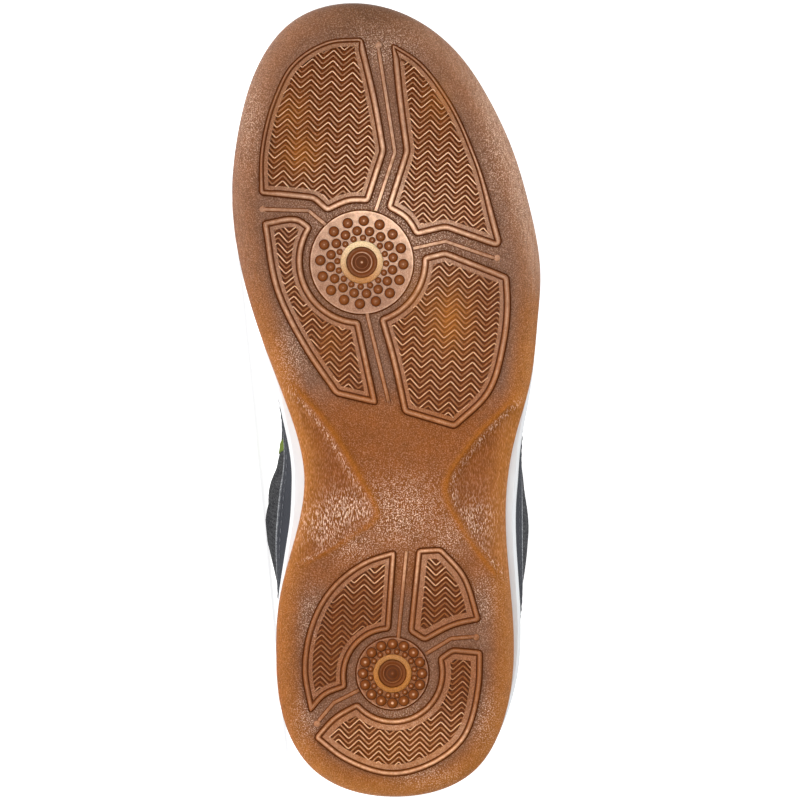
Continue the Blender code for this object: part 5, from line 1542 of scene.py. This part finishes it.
def upper_mesh():
    """Hollow upper, with a value that tells its lining and coordinates that follow its knit."""
    inner = FACE - NORMAL * THICK[:, :, None]
    tip = unit_rows(FACE[:, -1] - FACE[:, -2])
    centre = (FACE[:, -1] + inner[:, -1]) / 2
    reach = (FACE[:, -1] - inner[:, -1]) / 2
    half = THICK[:, -1][:, None] / 2
    angles = np.radians(np.arange(20, 180, 20))
    edge = [centre + reach * math.cos(a) + tip * half * math.sin(a) for a in angles]
    section = [footbed_ring(0.0), *(FACE[:, line] for line in range(FACE.shape[1])), *edge]
    outer_count = len(section) - len(edge) // 2
    section += [inner[:, line] for line in reversed(range(inner.shape[1]))]
    section.append(footbed_ring(UPPER_WALL))
    faces = wall_faces(len(section), AROUND) + closing_faces(len(section), AROUND)
    mesh = faced_out(plain_mesh("knit_upper", np.concatenate(section), faces=faces))
    add_values(mesh, "lining", np.repeat((np.arange(len(section)) >= outer_count).astype(float), AROUND))
    climb = np.cumsum(np.linalg.norm(np.diff(np.array(section), axis=0, prepend=section[:1]), axis=2), axis=0)
    walk = np.broadcast_to(STATION, (len(section), AROUND))
    add_values(mesh, "knit", np.column_stack((walk.ravel(), climb.ravel(), np.zeros(climb.size))))
    return mesh


def knit_material():
    """Charcoal melange knit outside, a smoother dark lining inside."""
    material, tree, shader = new_material("knit")
    knit = attribute(tree, "knit", "Vector")
    drawn = attribute(tree, "drawn", "Vector")
    lining = attribute(tree, "lining")
    holes = add_node(tree, "ShaderNodeTexVoronoi", feature="F1",
                     values={"Vector": stretched(tree, knit, KNIT_SCALE), "Scale": 1.0,
                             "Randomness": 0.25}).outputs["Distance"]
    thread = noise(tree, stretched(tree, drawn, (1.6, 2.4, 2.4)), 1.0, 4.0, 0.7)
    cloudy = noise(tree, drawn, 0.3, 3.0, 0.6)
    fleck = math_node(tree, "ADD", thread, math_node(tree, "MULTIPLY", cloudy, 0.25))
    outside = mixed(tree, spread(tree, fleck, 0.52, 0.78), CHARCOAL, CHARCOAL_FLECK)
    outside = mixed(tree, spread(tree, holes, 0.12, 0.34, 0.75, 0.0), outside, HOLE_BLACK)
    height = math_node(tree, "ADD", spread(tree, holes, 0.1, 0.5), math_node(tree, "MULTIPLY", thread, 0.5))
    feed(tree, shader, {
        "Base Color": mixed(tree, lining, outside, LINING),
        "Normal": bumped(tree, height, 0.7, KNIT_DEPTH),
        "Roughness": 0.9,
        "Specular IOR Level": 0.1,
    })
    return material


KNIT = knit_material()
upper = lay_piece("knit_upper", upper_mesh(), KNIT, ("upper",), sharp=80.0)

# Toe guard, heel counter and eyestay
# Slate synthetic overlays cut to the upper's own form and sewn on: a low guard round the toe, a counter
# from the arch round the heel and a stay along the throat that carries the eyelets.

OVERLAY, OVERLAY_SINK, OVERLAY_ROUND, OVERLAY_HEM = 1.2, 0.4, 1.1, 0.25
SLATE, SLATE_LIGHT = (0.022, 0.0245, 0.034), (0.032, 0.035, 0.046)


def stations_between(first, last):
    """Lines of the grid from one named station to another, going round by the inner side."""
    start, end = (KNOTS[name] for name in (first, last))
    length = (end - start) % PERIOD
    offset = np.mod(STATION - start, PERIOD)
    chosen = np.nonzero(offset <= length)[0]
    return chosen[np.argsort(offset[chosen])]


def grid_lengths(grid):
    """Distance of every point of a grid from its nearest edge, measured along the grid."""
    down = np.cumsum(np.linalg.norm(np.diff(grid, axis=0, prepend=grid[:1]), axis=2), axis=0)
    over = np.cumsum(np.linalg.norm(np.diff(grid, axis=1, prepend=grid[:, :1]), axis=2), axis=1)
    return np.minimum(np.minimum(down, down[-1] - down), np.minimum(over, over[:, -1:] - over))


def overlay_grid(stations, lines):
    """Places and directions of the patch of upper that an overlay covers, with its hem lifted a little."""
    grid = FACE[stations][:, lines]
    grid[:, 0] += (grid[:, LOW_LANE // 4] - grid[:, 0]) * OVERLAY_HEM
    return grid, NORMAL[stations][:, lines]


def shell_mesh(name, top, low):
    """Closed mesh between two grids of points, joined round their edges."""
    rows, across = top.shape[:2]
    start = rows * across
    faces = wall_faces(rows, across, 0, False) + wall_faces(rows, across, start, False)
    rim = [i * across for i in range(rows)]
    rim += [(rows - 1) * across + j for j in range(1, across)]
    rim += [i * across + across - 1 for i in reversed(range(rows - 1))]
    rim += list(reversed(range(1, across - 1)))
    faces += [(a, b, start + b, start + a) for a, b in zip(rim, rim[1:] + rim[:1])]
    return drawn_mesh(name, np.concatenate((top.reshape(-1, 3), low.reshape(-1, 3))), faces)


def overlay_mesh(name, stations, lines):
    """Overlay with a rounded edge all round, sunk a little into the upper."""
    grid, facing = overlay_grid(stations, lines)
    edge = np.clip(grid_lengths(grid) / OVERLAY_ROUND, 0, 1)
    rise = GAP + OVERLAY * np.sqrt(1 - (1 - edge) ** 2)
    return shell_mesh(name, grid + facing * rise[:, :, None], grid - facing * OVERLAY_SINK)


def slate_material():
    """Satin slate synthetic with a faint leather grain."""
    material, tree, shader = new_material("slate")
    place = attribute(tree, "drawn", "Vector")
    grain = add_node(tree, "ShaderNodeTexVoronoi", feature="SMOOTH_F1",
                     values={"Vector": place, "Scale": 1.3, "Smoothness": 0.5}).outputs["Distance"]
    cloud = noise(tree, place, 0.08, 3.0, 0.6)
    feed(tree, shader, {
        "Base Color": mixed(tree, spread(tree, cloud, 0.3, 0.7), SLATE, SLATE_LIGHT),
        "Normal": bumped(tree, grain, 0.2, GRAIN_DEPTH),
        "Roughness": spread(tree, cloud, 0.3, 0.7, 0.5, 0.62),
        "Specular IOR Level": 0.25,
    })
    return material


SLATE_FINISH = slate_material()
WALL_LINES = FACE.shape[1]
LOW_LINES = np.arange(LOW_LANE + 1)
TOP_LINES = np.arange(WALL_LINES - TOP_LANE - 1, WALL_LINES)
OVERLAYS = {
    "toe_guard": (stations_between("ball_outer", "ball_back_inner"), LOW_LINES),
    "heel_counter": (stations_between("arch_front_inner", "arch_front_outer"), LOW_LINES),
    "eyestay": (stations_between("arch_outer", "waist_inner"), TOP_LINES),
}
for name, (stations, lines) in OVERLAYS.items():
    panel = overlay_mesh(name + "_panel", stations, lines)
    lay_piece(name + "_panel", panel, SLATE_FINISH, (name,), sharp=70.0)

# Piping
# A thin pale cord sewn in along the upper edge of the heel counter, so that it shows as a light line
# between the slate overlay and the knit.

PIPING_RADIUS, PIPING_SIDES, PIPING_RISE = 0.75, 10, 0.6
PIPING_GREY, PIPING_FLECK = (0.2, 0.205, 0.22), (0.55, 0.56, 0.58)


def tube_mesh(name, path, radius, sides):
    """Closed round tube along a path of points."""
    heading = unit_rows(np.gradient(path, axis=0))
    side_way = unit_rows(np.cross(heading, (0.0, 0.0, 1.0)))
    up = np.cross(side_way, heading)
    angles = np.arange(sides) * 2 * math.pi / sides
    rows = path[:, None, :] + radius * (side_way[:, None, :] * np.cos(angles)[None, :, None]
                                        + up[:, None, :] * np.sin(angles)[None, :, None])
    faces = wall_faces(len(path), sides) + end_faces(len(path), sides)
    return drawn_mesh(name, rows.reshape(-1, 3), faces)


counter_stations = OVERLAYS["heel_counter"][0]
piping_path = FACE[counter_stations, LOW_LANE] + NORMAL[counter_stations, LOW_LANE] * PIPING_RISE
piping_finish = cloth_material("pale_piping", PIPING_GREY, PIPING_FLECK, 2.0, 0.3)
piping = tube_mesh("piping", piping_path, PIPING_RADIUS, PIPING_SIDES)
lay_piece("piping", piping, piping_finish)

# Lime webbing
# A narrow woven tape in lime green, bonded to the knit, that runs up the inner quarter from the heel
# counter to the eyestay.

WEBBING_STATIONS = (-2.2, 2.2)
WEBBING_X = 128.5
WEBBING_RISE, WEBBING_LIFT, WEBBING_ACROSS = 0.15, 0.3, 9
LIME, LIME_FLECK = (0.17, 0.21, 0.045), (0.15, 0.24, 0.012)


def strip_mesh(name, grid, facing, thick):
    """Closed strip over a patch of the upper, rounded at its sides and sunk a little into it."""
    t = np.linspace(-1, 1, grid.shape[1])
    rise = thick * np.sqrt(np.clip(1 - t ** 8, 0, 1))
    return shell_mesh(name, grid + facing * rise[None, :, None], grid - facing * OVERLAY_SINK)


def wall_at(parameter, line):
    """Place and direction on a line of the upper's wall at a parameter round the outline."""
    order = np.argsort(STATION)
    rows = np.concatenate((FACE[order, line], NORMAL[order, line]), axis=1)
    at = np.mod(parameter, PERIOD)
    return np.array([np.interp(at, STATION[order], rows[:, k], period=PERIOD) for k in range(6)])


webbing_middle = np.interp(-WEBBING_X, -PLAN[INNER_HALF, 0], STATION[INNER_HALF])
webbing_places = webbing_middle + np.linspace(*WEBBING_STATIONS, WEBBING_ACROSS)
webbing_lines = np.arange(LOW_LANE + 1, WALL_LINES - TOP_LANE + 2)
webbing = np.array([[wall_at(place, line) for place in webbing_places] for line in webbing_lines])
webbing_grid = webbing[:, :, :3] + webbing[:, :, 3:] * WEBBING_LIFT
lime_tape = cloth_material("lime_tape", LIME, LIME_FLECK, 3.0, 0.5)
lay_piece("webbing", strip_mesh("webbing", webbing_grid, webbing[:, :, 3:], WEBBING_RISE), lime_tape,
          sharp=60.0)

# Stitches
# Rows of short grey lockstitches a little inside the edges of the three overlays, each stitch a small
# bead of thread pulled down into the material.

STITCH_LENGTH, STITCH_PITCH, STITCH_RADIUS, STITCH_LIFT, STITCH_ENDS = 2.2, 3.0, 0.28, 1.55, 2
STITCH_GREY, STITCH_FLECK = (0.085, 0.088, 0.098), (0.20, 0.205, 0.22)
# Overlay, and line of its grid counted from its lower edge
STITCH_ROWS = (
    ("toe_guard", LOW_LANE - 2),
    ("toe_guard", LOW_LANE - 4),
    ("heel_counter", LOW_LANE - 2),
    ("heel_counter", LOW_LANE - 4),
    ("eyestay", 2),
    ("eyestay", TOP_LANE - 2),
)


def stitch_tree():
    """Nodes that lay a bead of thread on every point, along the direction stored there."""
    tree, given, result = new_tree("lockstitch", ("Length", "Radius"))
    bead = add_node(tree, "GeometryNodeMeshUVSphere", values={"Segments": 8, "Rings": 6, "Radius": 1.0})
    heading = stored(tree, "heading", "FLOAT_VECTOR")
    aim = add_node(tree, "FunctionNodeAlignRotationToVector", axis="X", values={"Vector": heading})
    half = math_node(tree, "MULTIPLY", given.outputs["Length"], 0.5)
    size = add_node(tree, "ShaderNodeCombineXYZ",
                    values={0: half, 1: given.outputs["Radius"], 2: given.outputs["Radius"]})
    laid = add_node(tree, "GeometryNodeInstanceOnPoints",
                    values={"Points": given.outputs["Geometry"], "Instance": bead.outputs[0],
                            "Rotation": aim.outputs[0], "Scale": size.outputs[0]})
    return finish_tree(tree, laid.outputs[0], given, result)


def even_places(path, pitch):
    """Points at an even pitch along a path, and the direction of the path at each."""
    length = lengths_along(path)
    at = np.arange(pitch, length[-1] - pitch, pitch)
    ahead, behind, here = (np.column_stack([np.interp(at + d, length, path[:, k]) for k in range(3)])
                           for d in (0.5, -0.5, 0.0))
    return here, ahead - behind


stitch_places = []
stitch_headings = []
for overlay, line in STITCH_ROWS:
    grid, facing = overlay_grid(*OVERLAYS[overlay])
    row = (grid + facing * STITCH_LIFT)[STITCH_ENDS:-STITCH_ENDS, line]
    here, heading = even_places(row, STITCH_PITCH)
    stitch_places.append(here)
    stitch_headings.append(heading)
stitch_points = plain_mesh("stitches", np.concatenate(stitch_places))
add_values(stitch_points, "heading", np.concatenate(stitch_headings))
thread_finish = cloth_material("grey_thread", STITCH_GREY, STITCH_FLECK, 4.0, 0.3)
stitches = grown(stitch_points, stitch_tree(), Material=thread_finish, Length=STITCH_LENGTH,
                 Radius=STITCH_RADIUS)
lay_piece("stitches", stitches, thread_finish, sharp=180.0)

# Eyelets
# Twelve eyelets in the eyestay, six on each side. Each is a rolled ring of dark plated metal, pressed
# through the overlay, and the lace dives into it.

EYELET_ROWS = (184.0, 172.0, 160.0, 148.0, 136.0, 124.0)
EYELET_PLACE, EDGE_PLACE = 0.45, 1.2
EYELET_RADIUS, EYELET_WIRE, EYELET_LIFT = 2.7, 0.75, 1.45
EYELET_METAL, RUBBED_METAL = (0.05, 0.052, 0.058), (0.16, 0.16, 0.17)


def throat_points(x, outer_side):
    """Eyelet and throat edge on one side, level with x, each with the direction that stands off it."""
    first, last = ("arch_outer", "little_toe") if outer_side else ("joint_inner", "waist_inner")
    stations = stations_between(first, last)
    order = stations if outer_side else stations[::-1]
    level = FACE[order, -1, 0]
    found = []
    for share in (EYELET_PLACE, EDGE_PLACE):
        start = FACE[order, -1 - TOP_LANE]
        place = start + (FACE[order, -1] - start) * share
        facing = NORMAL[order, -1 - TOP_LANE] * (1 - share) + NORMAL[order, -1] * share
        row = np.column_stack((place, facing))
        found.append(np.array([np.interp(x, level, row[:, k]) for k in range(6)]))
    return found


def eyelet_tree():
    """Nodes that press a rolled ring on every point, square to the direction stored there."""
    tree, given, result = new_tree("pressed_eyelet", ("Radius", "Wire"))
    loop = add_node(tree, "GeometryNodeCurvePrimitiveCircle",
                    values={"Resolution": 28, "Radius": given.outputs["Radius"]})
    wire = add_node(tree, "GeometryNodeCurvePrimitiveCircle",
                    values={"Resolution": 12, "Radius": given.outputs["Wire"]})
    roll = add_node(tree, "GeometryNodeCurveToMesh",
                    values={"Curve": loop.outputs[0], "Profile Curve": wire.outputs[0]})
    facing = stored(tree, "heading", "FLOAT_VECTOR")
    aim = add_node(tree, "FunctionNodeAlignRotationToVector", axis="Z", values={"Vector": facing})
    pressed = add_node(tree, "GeometryNodeInstanceOnPoints",
                       values={"Points": given.outputs["Geometry"], "Instance": roll.outputs[0],
                               "Rotation": aim.outputs[0]})
    return finish_tree(tree, pressed.outputs[0], given, result)


def eyelet_material():
    """Dark plated metal, brighter and smoother where the lace has rubbed it."""
    material, tree, shader = new_material("eyelet_metal")
    rub = noise(tree, attribute(tree, "drawn", "Vector"), 0.9)
    feed(tree, shader, {
        "Base Color": mixed(tree, spread(tree, rub, 0.4, 0.7), EYELET_METAL, RUBBED_METAL),
        "Roughness": spread(tree, rub, 0.3, 0.7, 0.45, 0.28),
        "Metallic": 0.8,
    })
    return material


def facing_of(row):
    """Direction that stands off the upper in a row from throat_points."""
    return row[3:] / np.linalg.norm(row[3:])


THROAT = {outer_side: [throat_points(x, outer_side) for x in EYELET_ROWS] for outer_side in (False, True)}
eyelet_rows = [pair[0] for outer_side in (False, True) for pair in THROAT[outer_side]]
eyelet_facing = np.array([facing_of(row) for row in eyelet_rows])
eyelet_points = plain_mesh("eyelets", np.array(eyelet_rows)[:, :3] + eyelet_facing * EYELET_LIFT)
add_values(eyelet_points, "heading", eyelet_facing)
eyelet_finish = eyelet_material()
eyelets = grown(eyelet_points, eyelet_tree(), Material=eyelet_finish, Radius=EYELET_RADIUS, Wire=EYELET_WIRE)
lay_piece("eyelets", eyelets, eyelet_finish, sharp=180.0)

# Tongue
# A padded strip of foam in the same knit, sewn under the vamp and free at its top, with a smooth binding
# round its edge and two sewn lines across that quilt it.

# Rows along the tongue: x, middle, crown, half width and droop
TONGUE = (
    (205.0, -4.0, 60.0, 16.0, 6.0),
    (197.0, -4.2, 62.8, 18.0, 8.0),
    (188.0, -4.2, 67.8, 20.0, 11.0),
    (170.0, -3.5, 76.6, 22.0, 13.0),
    (150.0, -2.0, 85.4, 23.0, 13.5),
    (130.0, -0.5, 94.0, 24.0, 14.0),
    (112.0, 0.0, 101.4, 24.0, 13.0),
    (99.0, 0.0, 106.0, 24.0, 12.0),
    (91.0, 0.0, 108.0, 21.0, 9.0),
)
TONGUE_THICK, TONGUE_EDGE = 5.0, 2.4
TONGUE_ROWS, TONGUE_ACROSS, TONGUE_CROWDING = 90, 40, 1.25
TONGUE_QUILTS, QUILT_DEPTH, QUILT_SPREAD = (104.0, 118.0), 1.2, 1.4
TONGUE_CORNER = 9.0
# Free end: how far it tapers, the share of thickness it starts at, and the least thickness
TONGUE_TAPER, TONGUE_TIP, TONGUE_LEAST = 4.0, 0.35, 0.02
BINDING_WIDTH, BINDING_FADE, BINDING_SHADE = 2.6, 0.5, 0.6


def tongue_mesh():
    """Tongue: crowned on top, rounded at its sides, pulled in at its quilting and its free end."""
    table = np.array(TONGUE)[::-1]
    xs = table[0, 0] + (table[-1, 0] - table[0, 0]) * np.linspace(0, 1, TONGUE_ROWS) ** TONGUE_CROWDING
    middle, crown, half_width, droop = (smooth_between(table[:, 0], table[:, k], xs) for k in range(1, 5))
    into = np.clip(1 - (xs - xs[0]) / TONGUE_CORNER, 0, 1)
    half_width = half_width - TONGUE_CORNER * (1 - np.sqrt(1 - into ** 2))
    t = np.sin(np.linspace(-math.pi / 2, math.pi / 2, TONGUE_ACROSS))
    free = smooth_step((xs - xs[0]) / TONGUE_TAPER)
    quilt = sum(QUILT_DEPTH * np.exp(-((xs - place) / QUILT_SPREAD) ** 2) for place in TONGUE_QUILTS)
    edge = np.sqrt(np.clip(1 - t ** 6, 0, 1))
    depth = (TONGUE_EDGE + (TONGUE_THICK - TONGUE_EDGE) * (1 - t ** 4)) * edge
    rows = []
    for i, x in enumerate(xs):
        y = middle[i] + half_width[i] * t
        centre = crown[i] - droop[i] * t * t - TONGUE_THICK / 2
        taper = TONGUE_TIP + (1 - TONGUE_TIP) * free[i]
        thick = np.maximum(depth * taper - quilt[i] * edge, TONGUE_LEAST)
        outer = np.column_stack((np.full(len(t), x), y, centre + thick / 2))
        inner = np.column_stack((np.full(len(t), x), y, centre - thick / 2))
        rows.append(np.concatenate((outer, inner[::-1])))
    count = len(rows[0])
    faces = wall_faces(len(rows), count)
    for start in (0, (len(rows) - 1) * count):
        faces += [(start + i, start + i + 1, start + count - i - 2, start + count - i - 1)
                  for i in range(count // 2 - 1)]
    inside = np.minimum(half_width[:, None] * (1 - np.abs(t)), (xs - xs[0])[:, None])
    bound = BINDING_SHADE * smooth_step((BINDING_WIDTH - inside) / BINDING_FADE)
    lining = np.hstack((bound, bound[:, ::-1])).ravel()
    mesh = drawn_mesh("padded_tongue", np.concatenate(rows), faces, lining=lining)
    add_values(mesh, "knit", mesh_points(mesh) * (1.0, 1.0, 0.0))
    return mesh


tongue = lay_piece("padded_tongue", tongue_mesh(), KNIT, ("tongue",), sharp=80.0)

# Lace
# A flat woven lace, dark, crossed over the tongue from eyelet to eyelet with one bar at the foot of the
# throat. It is drawn tight and held by the eyelets, and its ends stop inside the top ones.

LACE_WIDTH, LACE_THICK, LACE_NECK, LACE_NECK_RUN = 6.0, 1.4, 0.62, 7.0
LACE_LIFT, LACE_OVER, LACE_DIP, LACE_DIVE = 2.5, 1.35, 1.6, 2.2
LACE_BEND, LACE_NECK_START, LACE_SQUARE = 0.5, 2.5, 0.6
LACE_STEPS, LACE_SIDES = 34, 12
LACE_DARK, LACE_FLECK = (0.022, 0.022, 0.026), (0.05, 0.05, 0.056)


def open_curve(points, count):
    """Points at even steps along a smooth open curve through the given ones, ends included."""
    chord = lengths_along(points)
    return np.concatenate((curve_through(points, chord[-1] / (count - 1)), points[-1:]))


def lace_strap(start, end, over):
    """Rings of one crossing of the lace from an eyelet to another, over or under its neighbour."""
    rows = [start[0], start[0], start[1], (start[1] + end[1]) / 2, end[1], end[0], end[0]]
    bend = LACE_LIFT - LACE_BEND
    crossing = LACE_LIFT - LACE_DIP + over * LACE_OVER
    lifts = (-LACE_DIVE, bend, LACE_LIFT, crossing, LACE_LIFT, bend, -LACE_DIVE)
    facing = np.array([facing_of(row) for row in rows])
    route = np.array([row[:3] for row in rows]) + facing * np.array(lifts)[:, None]
    path = open_curve(np.column_stack((route, facing)), LACE_STEPS)
    route, facing = path[:, :3], path[:, 3:]
    heading = np.gradient(route, axis=0)
    across = unit_rows(np.cross(heading, facing))
    up = unit_rows(np.cross(across, heading))
    length = lengths_along(route)
    from_end = np.minimum(length, length[-1] - length)
    past_neck = smooth_step((from_end - LACE_NECK_START) / LACE_NECK_RUN)
    width = LACE_WIDTH * (LACE_NECK + (1 - LACE_NECK) * past_neck)
    angles = np.arange(LACE_SIDES) * 2 * math.pi / LACE_SIDES
    flat = np.sign(np.cos(angles)) * np.abs(np.cos(angles)) ** LACE_SQUARE
    tall = np.sign(np.sin(angles)) * np.abs(np.sin(angles)) ** LACE_SQUARE
    return (route[:, None, :] + across[:, None, :] * (width[:, None] / 2 * flat)[:, :, None]
            + up[:, None, :] * (LACE_THICK / 2 * tall)[None, :, None])


lace_pairs = [(THROAT[False][0], THROAT[True][0], 0.0)]
for row in range(len(EYELET_ROWS) - 1):
    lace_pairs.append((THROAT[False][row], THROAT[True][row + 1], 0.0))
    lace_pairs.append((THROAT[False][row + 1], THROAT[True][row], 1.0))
lace_points = []
lace_faces = []
for start, end, over in lace_pairs:
    rings = lace_strap(start, end, over)
    first = sum(len(p) for p in lace_points)
    lace_faces += wall_faces(LACE_STEPS, LACE_SIDES, first) + end_faces(LACE_STEPS, LACE_SIDES, first)
    lace_points.append(rings.reshape(-1, 3))
lace_finish = cloth_material("lace_weave", LACE_DARK, LACE_FLECK, 3.5, 0.6)
woven_lace = drawn_mesh("woven_lace", np.concatenate(lace_points), lace_faces)
lay_piece("woven_lace", woven_lace, lace_finish, ("lace",))
